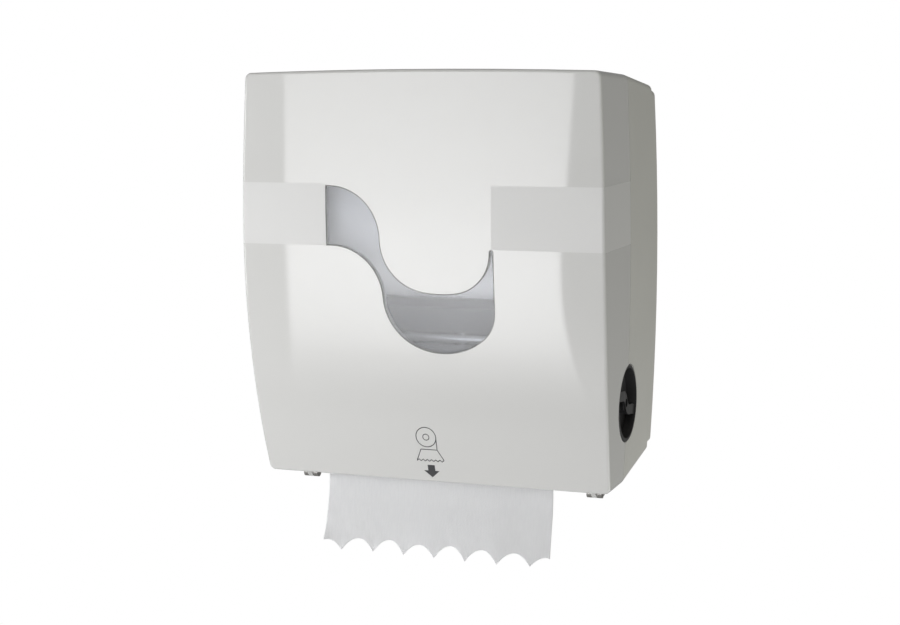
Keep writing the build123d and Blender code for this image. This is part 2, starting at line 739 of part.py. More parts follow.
def frame_plate(side):
    """Side frame: an upright plate with a flange screwed to the rear wall."""
    low = bottom_z + frame_bottom_height
    foot = low + 7
    high = bottom_z + frame_top_height
    front = -frame_front_depth
    start_x = frame_inner_x if side > 0 else -frame_outer_x
    with BuildPart() as frame:
        with BuildSketch(Plane.YZ.offset(start_x)) as plate:
            with BuildLine():
                Polyline(
                    (frame_flange_y, foot),
                    (-plinth_depth - 4, foot),
                    (-plinth_depth - 9, low),
                    (front + 8, low),
                    (front, low + 26),
                    (front, high - 26),
                    (front + 24, high),
                    (frame_flange_y, high),
                    close=True,
                )
            make_face()
            fillet(plate.vertices().sort_by(Axis.X)[:4], 6)
            with Locations((drum_y, drum_z)):
                Circle(stub_radius + bush_wall + static_clearance, mode=Mode.SUBTRACT)
            with Locations((yoke_y, yoke_z), (tie_y, tie_z), guide_screw):
                Circle(fixing_radius + 0.15, mode=Mode.SUBTRACT)
            if side < 0:
                with Locations(cam_nose):
                    Circle(cam_screw_radius + 0.15, mode=Mode.SUBTRACT)
        extrude(amount=frame_thickness)
        # Arc slot in which the pinch roller's shaft lifts.
        with BuildSketch(Plane.YZ.offset(start_x - 1)):
            lifted = turned((pinch_y, pinch_z), (yoke_y, yoke_z), -pinch_lift - 1)
            with Locations((pinch_y, pinch_z), lifted):
                Circle(pinch_shaft_radius + 0.6)
            make_hull()
        extrude(amount=frame_thickness + 2, mode=Mode.SUBTRACT)
        with BuildSketch(Plane.XZ.offset(-frame_flange_y)):
            middle_x = side * (frame_inner_x + frame_thickness / 2 + frame_flange_width / 2)
            with Locations((middle_x, (foot + high) / 2)):
                Rectangle(frame_thickness + frame_flange_width, high - foot)
            holes = [place for place in frame_screw_places if place[0] * side > 0]
            with Locations(*holes):
                Circle(fixing_radius + 0.2, mode=Mode.SUBTRACT)
        extrude(amount=frame_thickness)
        # Posts on the outside: pinch spring, and on the left the return spring and pawl.
        posts = [(pinch_post, pinch_spring_x + 3.5 - frame_outer_x, 2.0)]
        if side < 0:
            posts.append((spring_post, return_spring_x + 3.1 - frame_outer_x, post_radius))
            posts.append((pawl_pivot, ratchet_reach + 1.5, post_radius))
            posts.append((leaf_post, ratchet_reach + 1.5, post_radius))
            posts.append((leaf_stop, ratchet_reach, 1.2))
        for (y, z), length, radius in posts:
            with BuildSketch(Plane.YZ.offset(side * (frame_outer_x - 0.5))):
                with Locations((y, z)):
                    Circle(radius)
            extrude(amount=side * (length + 0.5))
    return frame.part


def on_both_sides(piece):
    """Group of a piece on the right and its mirror image on the left."""
    with BuildPart() as group:
        add(piece)
        mirror(piece, about=Plane.YZ)
    return group.part


save(frame_plate(-1), "left_side_frame")
save(frame_plate(1), "right_side_frame")
flange_screw_places = [(x, frame_flange_y - frame_thickness, z) for x, z in frame_screw_places]
save(screws(flange_screw_places, 9.5, (0, 1, 0)), "frame_screws")

for side, name, reach_in in ((-1, "drum_bush_left", cam_thickness), (1, "drum_bush_right", 0.0)):
    # The left bush runs on inwards, where the knife cam sits on it.
    with BuildPart() as drum_bush:
        for radius, start_x, length in (
            (stub_radius + bush_wall, frame_inner_x - reach_in, frame_thickness + reach_in),
            (bush_flange_radius, frame_outer_x, bush_flange),
        ):
            with BuildSketch(Plane.YZ.offset(side * start_x)):
                with Locations((drum_y, drum_z)):
                    Circle(radius)
                    Circle(stub_radius + running_clearance, mode=Mode.SUBTRACT)
            extrude(amount=side * length)
    save(drum_bush.part, name)

with BuildPart() as tie_rod:
    with BuildSketch(Plane.YZ.offset(-frame_inner_x)):
        with Locations((tie_y, tie_z)):
            Circle(3.5)
    extrude(amount=2 * frame_inner_x)
    with BuildSketch(Plane.YZ.offset(-frame_inner_x)):
        with Locations((tie_y, tie_z)):
            Circle(fixing_radius + static_clearance)
    extrude(amount=10, mode=Mode.SUBTRACT)
    with BuildSketch(Plane.YZ.offset(frame_inner_x)):
        with Locations((tie_y, tie_z)):
            Circle(fixing_radius + static_clearance)
    extrude(amount=-10, mode=Mode.SUBTRACT)
save(tie_rod.part, "tie_rod")

with BuildPart() as paper_guide:
    guide_radius = drum_radius + 5.0
    with BuildSketch(Plane.YZ.offset(-frame_inner_x)):
        with BuildLine():
            sweep_arc = CenterArc((drum_y, drum_z), guide_radius, -50, -78)
            Line(sweep_arc @ 1, (-(exit_depth - 10), bottom_z + 5))
        trace(line_width=2.0)
    extrude(amount=2 * frame_inner_x)
    for side in (-1, 1):
        with BuildSketch(Plane.YZ.offset(side * frame_inner_x)):
            with Locations((drum_y, guide_screw[1] + 0.6)):
                Rectangle(26, 9)
            with Locations(guide_screw):
                Circle(fixing_radius + static_clearance, mode=Mode.SUBTRACT)
        extrude(amount=-side * 8.0)
save(paper_guide.part, "paper_guide")

through_screw_places = [
    (frame_outer_x, y, z) for y, z in ((tie_y, tie_z), guide_screw, (yoke_y, yoke_z))
]
through_screws = on_both_sides(screws(through_screw_places, 9.0, (-1, 0, 0)))
save(through_screws, "through_screws")

# ----------------------------------------------------------------------------------------- drum
shell_half_length = drum_half_length - cap_thickness
grip_places = [
    (index - (grip_count - 1) / 2) * 2 * shell_half_length / grip_count
    for index in range(grip_count)
]
shell_spans = {
    "drum_shell_front": (slot_angle + slot_high, slot_angle + 180 - 0.2),
    "drum_shell_rear": (slot_angle + 180 + 0.2, slot_angle + 360 + slot_low),
}
boss_angles = {"drum_shell_front": (70, 150), "drum_shell_rear": (210, 272)}


def ring_sector(inner, outer, start, end):
    """Sketch edges of a ring sector round the drum axis, angles from +Y towards +Z."""
    with BuildSketch(Plane.YZ) as sector:
        with BuildLine():
            CenterArc((drum_y, drum_z), outer, start, end - start)
            CenterArc((drum_y, drum_z), inner, start, end - start)
            Line(polar(inner, start), polar(outer, start))
            Line(polar(inner, end), polar(outer, end))
        make_face()
    return sector.sketch


for shell_name, (start, end) in shell_spans.items():
    with BuildPart() as drum_shell:
        extrude(
            ring_sector(drum_radius - drum_wall, drum_radius, start, end),
            amount=shell_half_length,
            both=True,
        )
        groove = ring_sector(drum_radius - grip_depth, drum_radius + 1, start + 12, end - 12)
        for x in grip_places:
            extrude(groove.moved(Location((x, 0, 0))), amount=grip_width / 2, both=True,
                    mode=Mode.SUBTRACT)
        for angle in boss_angles[shell_name]:
            for side in (-1, 1):
                with BuildSketch(Plane.YZ.offset(side * shell_half_length)):
                    with Locations(polar(cap_screw_ring, slot_angle + angle)):
                        Circle(4.6)
                        Circle(fixing_radius + static_clearance, mode=Mode.SUBTRACT)
                extrude(amount=-side * 14)
    save(drum_shell.part, shell_name)

with BuildPart() as drum_grips:
    for start, end in shell_spans.values():
        strip = ring_sector(drum_radius - grip_depth, drum_radius, start + 12, end - 12)
        for x in grip_places:
            extrude(strip.moved(Location((x, 0, 0))), amount=grip_width / 2 - 0.05, both=True)
save(drum_grips.part, "drum_grips")


boss_points = [
    polar(cap_screw_ring, slot_angle + angle)
    for angles in boss_angles.values()
    for angle in angles
]
wheel_face_x = side_at_height(drum_height) - wheel_inset
wheel_back_x = wheel_face_x - wheel_thickness
hub_start = frame_outer_x + bush_flange + 0.5


def drum_cap(side, stub_end):
    """End cap of the drum with its stub shaft, flatted outside the bush to drive what it carries."""
    with BuildPart() as cap:
        with BuildSketch(Plane.YZ.offset(side * shell_half_length)):
            with Locations((drum_y, drum_z)):
                Circle(drum_radius)
            with Locations(*boss_points):
                Circle(fixing_radius + 0.2, mode=Mode.SUBTRACT)
            with Locations(knife_pivot):
                Circle(knife_pin_radius + static_clearance, mode=Mode.SUBTRACT)
        extrude(amount=side * cap_thickness)
        with BuildSketch(Plane.YZ.offset(side * (drum_half_length - 1))):
            with Locations((drum_y, drum_z)):
                Circle(stub_radius)
        extrude(amount=side * (stub_end - drum_half_length + 1))
        with BuildSketch(Plane.YZ.offset(side * ratchet_start)):
            with Locations((drum_y, drum_z)):
                Circle(stub_radius + 1)
                Rectangle(2 * stub_radius + 4, 2 * (stub_radius - stub_flat), mode=Mode.SUBTRACT)
        extrude(amount=side * (stub_end - ratchet_start + 1), mode=Mode.SUBTRACT)
        with BuildSketch(Plane.YZ.offset(side * stub_end)):
            with Locations((drum_y, drum_z)):
                Circle(fixing_radius + static_clearance)
        extrude(amount=-side * 12, mode=Mode.SUBTRACT)
        if side < 0:
            with BuildSketch(Plane.YZ.offset(-drum_half_length - 1)):
                with Locations(follower, follower_out):
                    Circle(knife_pin_radius + 0.7)
                make_hull()
            extrude(amount=cap_thickness + 2, mode=Mode.SUBTRACT)
    return cap.part


save(drum_cap(-1, crank_start + 1.7), "drum_cap_left")
save(drum_cap(1, hub_start + 15.0), "drum_cap_right")
cap_screw_places = [(drum_half_length, y, z) for y, z in boss_points]
save(on_both_sides(screws(cap_screw_places, 13.0, (-1, 0, 0))), "drum_cap_screws")


def shaft_bore(start_x, amount):
    """Solid to cut out, a flatted bore that fits the end of a stub shaft."""
    with BuildPart() as bore:
        with BuildSketch(Plane.YZ.offset(start_x)):
            with Locations((drum_y, drum_z)):
                Circle(stub_radius + static_clearance)
                Rectangle(
                    2 * stub_radius + 4,
                    2 * (stub_radius - stub_flat + static_clearance),
                    mode=Mode.INTERSECT,
                )
        extrude(amount=amount)
    return bore.part


# ---------------------------------------------------------------------------------------- knife
knife_half_length = shell_half_length - 1.0


def tooth_edge(half_width_x, tip, trough, corner):
    """Edge of pointed teeth with hollow flanks between them, from left to right."""
    count = int(half_width_x // cut_pitch)
    with BuildLine() as edge:
        for index in range(-count, count):
            start_x = index * cut_pitch
            ThreePointArc(
                (start_x, tip), (start_x + cut_pitch / 2, trough), (start_x + cut_pitch, tip)
            )
        for side in (-1, 1):
            last = side * count * cut_pitch
            ThreePointArc(
                (last, tip),
                ((last + side * half_width_x) / 2, (trough + corner) / 2),
                (side * half_width_x, corner),
            )
    return edge.line


blade_normal = (0, -sin(radians(slot_angle)), cos(radians(slot_angle)))
blade_screw_places = [
    (share * knife_half_length, *knife_frame(blade_screw_radial, blade_thickness / 2))
    for share in (-0.9, -0.45, 0.0, 0.45, 0.9)
]
with BuildPart() as knife_carrier:
    with BuildSketch(Plane(origin=(-knife_half_length, drum_y, drum_z), z_dir=(1, 0, 0),
                           x_dir=(0, cos(radians(slot_angle)), sin(radians(slot_angle))))):
        with Locations((knife_pivot_radial, knife_pivot_offset)):
            Circle(4.2)
        with Locations((blade_screw_radial - 0.25, -2.0)):
            Rectangle(6.5, 3.0)
        make_hull()
        with Locations((knife_pivot_radial, knife_pivot_offset)):
            Circle(knife_pin_radius + running_clearance, mode=Mode.SUBTRACT)
    extrude(amount=2 * knife_half_length)
    with BuildSketch(Plane.YZ.offset(-knife_half_length)):
        with Locations(knife_pivot):
            Circle(4.2)
        with Locations(follower):
            Circle(3.6)
        make_hull()
        with Locations(knife_pivot):
            Circle(knife_pin_radius + running_clearance, mode=Mode.SUBTRACT)
    extrude(amount=4)
    with BuildSketch(Plane.YZ.offset(-knife_half_length + 1)):
        with Locations(follower):
            Circle(knife_pin_radius)
    extrude(amount=-(frame_inner_x - 0.8 - knife_half_length + 1))
    for x, y, z in blade_screw_places:
        with BuildSketch(Plane(origin=(x, y, z), z_dir=blade_normal)):
            Circle(1.25 + static_clearance)
        extrude(amount=-4.0, mode=Mode.SUBTRACT)
save(knife_carrier.part, "knife_carrier")

with BuildPart() as knife_blade:
    blade_plane = Plane(
        origin=(0, *knife_frame(0, -blade_thickness / 2)), x_dir=(1, 0, 0), z_dir=blade_normal
    )
    with BuildSketch(blade_plane):
        with BuildLine():
            half = knife_half_length - 1
            add(tooth_edge(half, blade_reach, blade_reach - 7.0, blade_reach - 4))
            Polyline(
                (-half, blade_reach - 4), (-half, blade_root), (half, blade_root),
                (half, blade_reach - 4),
            )
        make_face()
        with Locations(*[(x, blade_screw_radial) for x, _, _ in blade_screw_places]):
            Circle(1.45, mode=Mode.SUBTRACT)
    extrude(amount=blade_thickness)
save(knife_blade.part, "knife_blade")
into_carrier = tuple(-value for value in blade_normal)
blade_screws = screws(blade_screw_places, 3.2, into_carrier, radius=1.25, head=1.2)
save(blade_screws, "blade_screws")

with BuildPart() as knife_pins:
    for side in (-1, 1):
        with BuildSketch(Plane.YZ.offset(side * (drum_half_length + 0.6))):
            with Locations(knife_pivot):
                Circle(knife_pin_radius)
        extrude(amount=-side * 18)
save(knife_pins.part, "knife_pins")

with BuildPart() as knife_cam:
    with BuildSketch(Plane.YZ.offset(-frame_inner_x)):
        with Locations((drum_y, drum_z)):
            Circle(cam_base_radius)
        with Locations(cam_nose):
            Circle(cam_nose_radius)
        make_hull()
        with Locations((drum_y, drum_z)):
            Circle(stub_radius + bush_wall + static_clearance, mode=Mode.SUBTRACT)
        with Locations(cam_nose):
            Circle(cam_screw_radius + static_clearance, mode=Mode.SUBTRACT)
    extrude(amount=cam_thickness)
save(knife_cam.part, "knife_cam")
cam_screw_place = [(-frame_outer_x, *cam_nose)]
save(screws(cam_screw_place, 5.5, (1, 0, 0), radius=cam_screw_radius, head=1.2), "cam_screw")

# --------------------------------------------------------------------------------- pinch roller
sleeve_pitch = 2 * (drum_half_length - 2.0) / pinch_sleeve_count
sleeve_length = sleeve_pitch - 9.5
with BuildPart() as pinch_sleeves:
    with BuildSketch(Plane.YZ):
        with Locations((pinch_y, pinch_z)):
            Circle(pinch_radius)
            Circle(pinch_shaft_radius + static_clearance, mode=Mode.SUBTRACT)
    ring = extrude(amount=sleeve_length / 2, both=True, mode=Mode.PRIVATE)
    for index in range(pinch_sleeve_count):
        add(ring.moved(Location(((index - (pinch_sleeve_count - 1) / 2) * sleeve_pitch, 0, 0))))
save(pinch_sleeves.part, "pinch_sleeves")

with BuildPart() as pinch_shaft:
    for half_length, radius in (
        (frame_outer_x + 0.4, pinch_shaft_radius),
        (pinch_spring_x + 4.0, 2.0),
    ):
        with BuildSketch(Plane.YZ):
            with Locations((pinch_y, pinch_z)):
                Circle(radius)
        extrude(amount=half_length, both=True)
    for side in (-1, 1):
        with BuildSketch(Plane.YZ.offset(side * (pinch_spring_x + 2.2))):
            with Locations((pinch_y, pinch_z)):
                Circle(2.6)
        extrude(amount=side * 1.8)
save(pinch_shaft.part, "pinch_shaft")

yoke_outer_x = frame_inner_x - 1.3
with BuildPart() as pinch_yoke:
    with BuildSketch(Plane.YZ):
        with Locations((yoke_y, yoke_z)):
            Circle(5.0)
    extrude(amount=yoke_outer_x, both=True)
    for side in (-1, 1):
        with BuildSketch(Plane.YZ.offset(side * yoke_outer_x)):
            with Locations((yoke_y, yoke_z)):
                Circle(6.0)
            with Locations((pinch_y, pinch_z)):
                Circle(6.5)
            make_hull()
        extrude(amount=-side * 2.5)
        with BuildSketch(Plane.YZ.offset(side * (yoke_outer_x + 1))):
            with Locations((pinch_y, pinch_z)):
                Circle(pinch_shaft_radius + running_clearance)
            with Locations((yoke_y, yoke_z)):
                Circle(fixing_radius + running_clearance)
        extrude(amount=-side * 11, mode=Mode.SUBTRACT)
save(pinch_yoke.part, "pinch_yoke")

pinch_spring = coil_spring(pinch_spring_x, (pinch_y, pinch_z), pinch_post, 2.0, 2.0, 14)
save(on_both_sides(pinch_spring), "pinch_springs")

# ------------------------------------------------------------------ ratchet, crank and hand wheel
with BuildPart() as ratchet_wheel:
    with BuildSketch(Plane.YZ.offset(-crank_start)):
        with BuildLine():
            step = 360 / ratchet_teeth
            first = pawl_angle
            for index in range(ratchet_teeth):
                root_before = polar(ratchet_root, first + index * step)
                tip = polar(ratchet_radius, first + index * step)
                root_after = polar(ratchet_root, first + (index + 1) * step)
                middle = polar((ratchet_radius + ratchet_root) / 2, first + (index + 0.5) * step)
                Line(root_before, tip)
                ThreePointArc(tip, middle, root_after)
        make_face()
    extrude(amount=ratchet_thickness)
    add(shaft_bore(-crank_start - 1, ratchet_thickness + 2), mode=Mode.SUBTRACT)
save(ratchet_wheel.part, "ratchet_wheel")

with BuildPart() as ratchet_pawl:
    with BuildSketch(Plane.YZ.offset(-crank_start)):
        with Locations(pawl_pivot):
            Circle(4.2)
        with Locations(pawl_tip):
            Circle(pawl_tip_radius)
        make_hull()
        with Locations(pawl_pivot):
            Circle(post_radius + running_clearance, mode=Mode.SUBTRACT)
    extrude(amount=ratchet_thickness)
save(ratchet_pawl.part, "ratchet_pawl")

with BuildPart() as pawl_spring:
    with BuildSketch(Plane.YZ.offset(-crank_start)):
        with BuildLine():
            Line(by_pawl(-10.2, 12.6), by_pawl(-3.4, 6.2))
        trace(line_width=0.5)
        with BuildLine():
            Line(by_pawl(-3.4, 6.2), by_pawl(16.0, 2.6))
        trace(line_width=0.5)
    extrude(amount=ratchet_thickness)
save(pawl_spring.part, "pawl_spring")

crank_pin = polar(crank_radius, crank_angle)
with BuildPart() as crank_disc:
    with BuildSketch(Plane.YZ.offset(-crank_end)):
        with Locations((drum_y, drum_z)):
            Circle(crank_disc_radius)
    extrude(amount=crank_thickness)
    add(shaft_bore(-crank_start - 1.8, 4), mode=Mode.SUBTRACT)
    with BuildSketch(Plane.YZ.offset(-crank_end - 1)):
        with Locations((drum_y, drum_z)):
            Circle(fixing_radius + 0.2)
    extrude(amount=4, mode=Mode.SUBTRACT)
    with BuildSketch(Plane.YZ.offset(-crank_end + 0.5)):
        with Locations(crank_pin):
            Circle(post_radius)
    extrude(amount=-(return_spring_x + 3.1 - crank_end + 0.5))
save(crank_disc.part, "crank_disc")
save(screws([(-crank_end, drum_y, drum_z)], 10.0, (1, 0, 0)), "crank_screw")

return_spring = coil_spring(-return_spring_x, crank_pin, spring_post, post_radius, post_radius, 19)
save(return_spring, "return_spring")

spring_ring_x = return_spring_x + 1.3
post_ring_x = crank_start + 0.2
ring_groups = {
    "retaining_rings": [
        (spring_post, spring_ring_x), (pawl_pivot, post_ring_x), (leaf_post, post_ring_x),
    ],
    "crank_pin_ring": [(crank_pin, spring_ring_x)],
}
for name, ring_places in ring_groups.items():
    with BuildPart() as rings:
        for (y, z), at_x in ring_places:
            with BuildSketch(Plane.YZ.offset(-at_x)):
                with Locations((y, z)):
                    Circle(post_radius + 1.7)
                    Circle(post_radius + static_clearance, mode=Mode.SUBTRACT)
            extrude(amount=-0.8)
    save(rings.part, name)

with BuildPart() as hand_wheel:
    with BuildSketch(Plane.YZ.offset(wheel_back_x)):
        with Locations((drum_y, drum_z)):
            Circle(wheel_radius)
    extrude(amount=wheel_thickness)
    fillet(hand_wheel.faces().sort_by(Axis.X)[-1].edges(), 1.5)
    with BuildSketch(Plane.YZ.offset(wheel_face_x + 1)):
        with Locations((drum_y, drum_z)):
            Circle(wheel_radius - wheel_rim)
    extrude(amount=-(wheel_dish + 1), taper=8, mode=Mode.SUBTRACT)
    # Finger rib, an S across the dish.
    with BuildSketch(Plane.YZ.offset(wheel_face_x - wheel_dish - 0.5)):
        with BuildLine():
            reach = wheel_radius - wheel_rim / 2
            Spline(
                polar(reach, 158),
                polar(reach * 0.5, 151),
                polar(reach * 0.2, 128),
                (drum_y, drum_z),
                polar(reach * 0.2, 308),
                polar(reach * 0.5, 331),
                polar(reach, 338),
            )
        trace(line_width=wheel_rib)
    extrude(amount=wheel_dish - 0.8)
    with BuildSketch(Plane.YZ.offset(wheel_face_x - wheel_dish - 0.5)):
        with Locations((drum_y, drum_z)):
            Circle(7.0)
    extrude(amount=wheel_dish - 2.5)
    with BuildSketch(Plane.YZ.offset(hub_start)):
        with Locations((drum_y, drum_z)):
            Circle(12.0)
    extrude(amount=wheel_back_x - hub_start + 1)
    add(shaft_bore(hub_start - 1, 16.2), mode=Mode.SUBTRACT)
    with BuildSketch(Plane.YZ.offset(hub_start)):
        with Locations((drum_y, drum_z)):
            Circle(fixing_radius + 0.2)
    extrude(amount=60, mode=Mode.SUBTRACT)
    with BuildSketch(Plane.YZ.offset(hub_start + 18.0)):
        with Locations((drum_y, drum_z)):
            Circle(fixing_head_radius + 0.5)
    extrude(amount=60, mode=Mode.SUBTRACT)
save(hand_wheel.part, "hand_wheel")
save(screws([(hub_start + 18.0, drum_y, drum_z)], 13.0, (-1, 0, 0)), "wheel_screw")

# ---------------------------------------------------------------------------------- roll holder
arm_outer_x = arm_inner_x + arm_thickness
base_y = frame_flange_y
base_width = 19.0


def arm_blade(side, rear_y, rear_height):
    """Arm with its stub: a tapering plate from the rear to the roll's axis."""
    with BuildPart() as blade:
        with BuildSketch(Plane.YZ.offset(side * arm_inner_x)):
            with Locations((roll_y, roll_z)):
                Circle(arm_width / 2)
            with Locations((rear_y - 1, roll_z)):
                Rectangle(2, rear_height)
            make_hull()
        extrude(amount=side * arm_thickness)
        with BuildSketch(Plane.YZ.offset(side * (arm_inner_x + 0.5))):
            with Locations((roll_y, roll_z)):
                Circle(arm_stub_radius)
        extrude(amount=-side * (arm_stub_length + 0.5))
    return blade.part


with BuildPart() as roll_arm_left:
    add(arm_blade(-1, base_y - 1, arm_base_height - 6))
    with BuildSketch(Plane.XZ.offset(-base_y)):
        with Locations((-(arm_inner_x + base_width / 2), roll_z)):
            Rectangle(base_width, arm_base_height)
        with Locations(*[place for place in arm_screw_places if place[0] < 0]):
            Circle(fixing_radius + 0.2, mode=Mode.SUBTRACT)
    extrude(amount=arm_base_thickness)
save(roll_arm_left.part, "roll_arm_left")

with BuildPart() as arm_bracket:
    with BuildSketch(Plane.XZ.offset(-base_y)):
        with Locations((arm_inner_x + 1 + base_width / 2, roll_z)):
            Rectangle(base_width, arm_base_height)
        with Locations(*[place for place in arm_screw_places if place[0] > 0]):
            Circle(fixing_radius + 0.2, mode=Mode.SUBTRACT)
    extrude(amount=arm_base_thickness)
    for side in (-1, 1):
        ear_z = roll_z + side * (arm_knuckle_height / 2 + 0.3)
        with BuildSketch(Plane.XY.offset(ear_z)):
            with Locations((arm_pin_x, -arm_pin_depth)):
                Circle(5.0)
            with Locations((arm_pin_x, base_y - arm_base_thickness + 0.5)):
                Rectangle(10, 1)
            make_hull()
            with Locations((arm_pin_x, -arm_pin_depth)):
                Circle(arm_pin_radius + static_clearance, mode=Mode.SUBTRACT)
        extrude(amount=side * 2.6)
save(arm_bracket.part, "arm_bracket")

with BuildPart() as roll_arm_right:
    add(arm_blade(1, -(arm_pin_depth - 3), arm_knuckle_height))
    with BuildSketch(Plane.XY.offset(roll_z)):
        with Locations((arm_pin_x, -arm_pin_depth)):
            Circle(4.8)
        with Locations((arm_inner_x + 2, -arm_pin_depth - 1)):
            Rectangle(4, 8)
        make_hull()
    extrude(amount=arm_knuckle_height / 2, both=True)
    with BuildSketch(Plane.XY.offset(roll_z)):
        with Locations((arm_pin_x, -arm_pin_depth)):
            Circle(arm_pin_radius + running_clearance)
    extrude(amount=arm_knuckle_height, both=True, mode=Mode.SUBTRACT)
save(roll_arm_right.part, "roll_arm_right")

with BuildPart() as arm_pin:
    pin_low_z = roll_z - arm_knuckle_height / 2 - 4.5
    with BuildSketch(Plane.XY.offset(pin_low_z)):
        with Locations((arm_pin_x, -arm_pin_depth)):
            Circle(arm_pin_radius)
    extrude(amount=arm_knuckle_height + 7.4)
    with BuildSketch(Plane.XY.offset(pin_low_z + arm_knuckle_height + 7.4)):
        with Locations((arm_pin_x, -arm_pin_depth)):
            Circle(arm_pin_radius + 1.2)
    extrude(amount=1.2)
save(arm_pin.part, "arm_pin")

base_screw_places = [(x, base_y - arm_base_thickness, z) for x, z in arm_screw_places]
save(screws(base_screw_places, 9.5, (0, 1, 0)), "arm_screws")

with BuildPart() as core_plug:
    rim_x = towel_width / 2 + 0.1
    with BuildSketch(Plane.XY.offset(roll_z)):
        with BuildLine():
            Polyline(
                (rim_x + 1.0, roll_y + arm_stub_radius + running_clearance),
                (rim_x + 1.0, roll_y + 25.0),
                (rim_x, roll_y + 25.0),
                (rim_x, roll_y + plug_radius),
                (rim_x - 3.0, roll_y + plug_radius),
                (rim_x - 9.0, roll_y + plug_nose_radius),
                (rim_x - 9.0, roll_y + 13.0),
                (rim_x - 2.0, roll_y + 15.5),
                (rim_x - 2.0, roll_y + 9.0),
                (rim_x - 10.0, roll_y + 9.0),
                (rim_x - 10.0, roll_y + arm_stub_radius + running_clearance),
                close=True,
            )
        make_face()
    revolve(axis=Axis((0, roll_y, roll_z), (1, 0, 0)))
save(core_plug.part, "core_plug_right")
core_plug_left = mirror(core_plug.part, about=Plane.YZ)
save(core_plug_left, "core_plug_left")

# ---------------------------------------------------------------------------------------- paper
with BuildPart() as roll_core:
    with BuildSketch(Plane.YZ):
        with Locations((roll_y, roll_z)):
            Circle(core_outer_radius)
            Circle(core_inner_radius, mode=Mode.SUBTRACT)
    extrude(amount=towel_width / 2, both=True)
save(roll_core.part, "roll_core")

with BuildPart() as towel_roll:
    with BuildSketch(Plane.YZ):
        with Locations((roll_y, roll_z)):
            Circle(roll_radius)
            Circle(core_outer_radius, mode=Mode.SUBTRACT)
    extrude(amount=towel_width / 2, both=True)
save(towel_roll.part, "towel_roll")

# Path of the web: off the back of the roll, under the pinch roller, over the drum, down and out.
roll_web_radius = roll_radius + nip_gap + towel_thickness / 2
pinch_web_radius = pinch_radius + nip_gap + towel_thickness / 2
between = hypot(roll_y - pinch_y, roll_z - pinch_z)
leave_angle = degrees(atan2(roll_z - pinch_z, roll_y - pinch_y)) - degrees(
    acos((pinch_web_radius - roll_web_radius) / between)
)
exit_y, exit_z = -exit_depth, bottom_z
exit_distance = hypot(exit_y - drum_y, exit_z - drum_z)
exit_angle = degrees(atan2(exit_z - drum_z, exit_y - drum_y)) % 360 - degrees(
    acos(web_radius / exit_distance)
)
with BuildPart() as towel_web:
    with BuildSketch(Plane.YZ):
        with BuildLine():
            Line(
                polar(roll_web_radius, leave_angle, roll_y, roll_z),
                polar(pinch_web_radius, leave_angle, pinch_y, pinch_z),
            )
            CenterArc(
                (pinch_y, pinch_z),
                pinch_web_radius,
                leave_angle,
                pinch_angle - 180 - leave_angle,
            )
            CenterArc((drum_y, drum_z), web_radius, pinch_angle, exit_angle - pinch_angle)
            Line(polar(web_radius, exit_angle), (exit_y, exit_z))
        trace(line_width=towel_thickness)
    extrude(amount=towel_width / 2, both=True)
    with Locations((0, exit_y, exit_z - 5)):
        Box(towel_width + 10, 20, 10, mode=Mode.SUBTRACT)
save(towel_web.part, "towel_web")

with BuildPart() as towel_tail:
    heading = exit_angle + 90 - 360
    with BuildSketch(Plane.YZ):
        with BuildLine():
            Line(polar(web_radius, exit_angle), (exit_y, exit_z))
            JernArc(
                (exit_y, exit_z),
                (cos(radians(heading)), sin(radians(heading))),
                tail_bend_radius,
                -(tail_lean + 90 + heading),
            )
            end_direction = radians(-90 - tail_lean)
            tail_end = JernArc(
                (exit_y, exit_z),
                (cos(radians(heading)), sin(radians(heading))),
                tail_bend_radius,
                -(tail_lean + 90 + heading),
                mode=Mode.PRIVATE,
            ) @ 1
            Line(
                tail_end,
                tail_end + Vector(cos(end_direction), sin(end_direction)) * (tail_length + 20),
            )
        trace(line_width=towel_thickness)
    extrude(amount=towel_width / 2, both=True)
    tip_z = bottom_z - tail_length
    with BuildSketch(Plane.XZ.offset(100)):
        with BuildLine():
            half = towel_width / 2
            add(tooth_edge(half, tip_z, tip_z + cut_depth, tip_z + cut_depth - 3.5))
            Polyline(
                (half, tip_z + cut_depth - 3.5), (half, bottom_z), (-half, bottom_z),
                (-half, tip_z + cut_depth - 3.5),
            )
        make_face()
    extrude(amount=150, mode=Mode.INTERSECT)
save(towel_tail.part, "towel_tail")
print("drum turn feeds", round(2 * pi * drum_radius, 1), "mm")
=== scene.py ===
# %% [markdown]
# # A wall dispenser for roll towels
# A white moulded case hangs on a wall. Its front swings down, a curved smoked
# window shows how much paper is left, and a tail of towel hangs below. The
# mechanism inside comes ready from the CAD model, so this lesson loads that
# model as a fixed frame and gives it finishes, paper, light and a camera.

# %% Load the frame
import math

import bmesh
import bpy
import numpy as np
from mathutils import Matrix, Vector


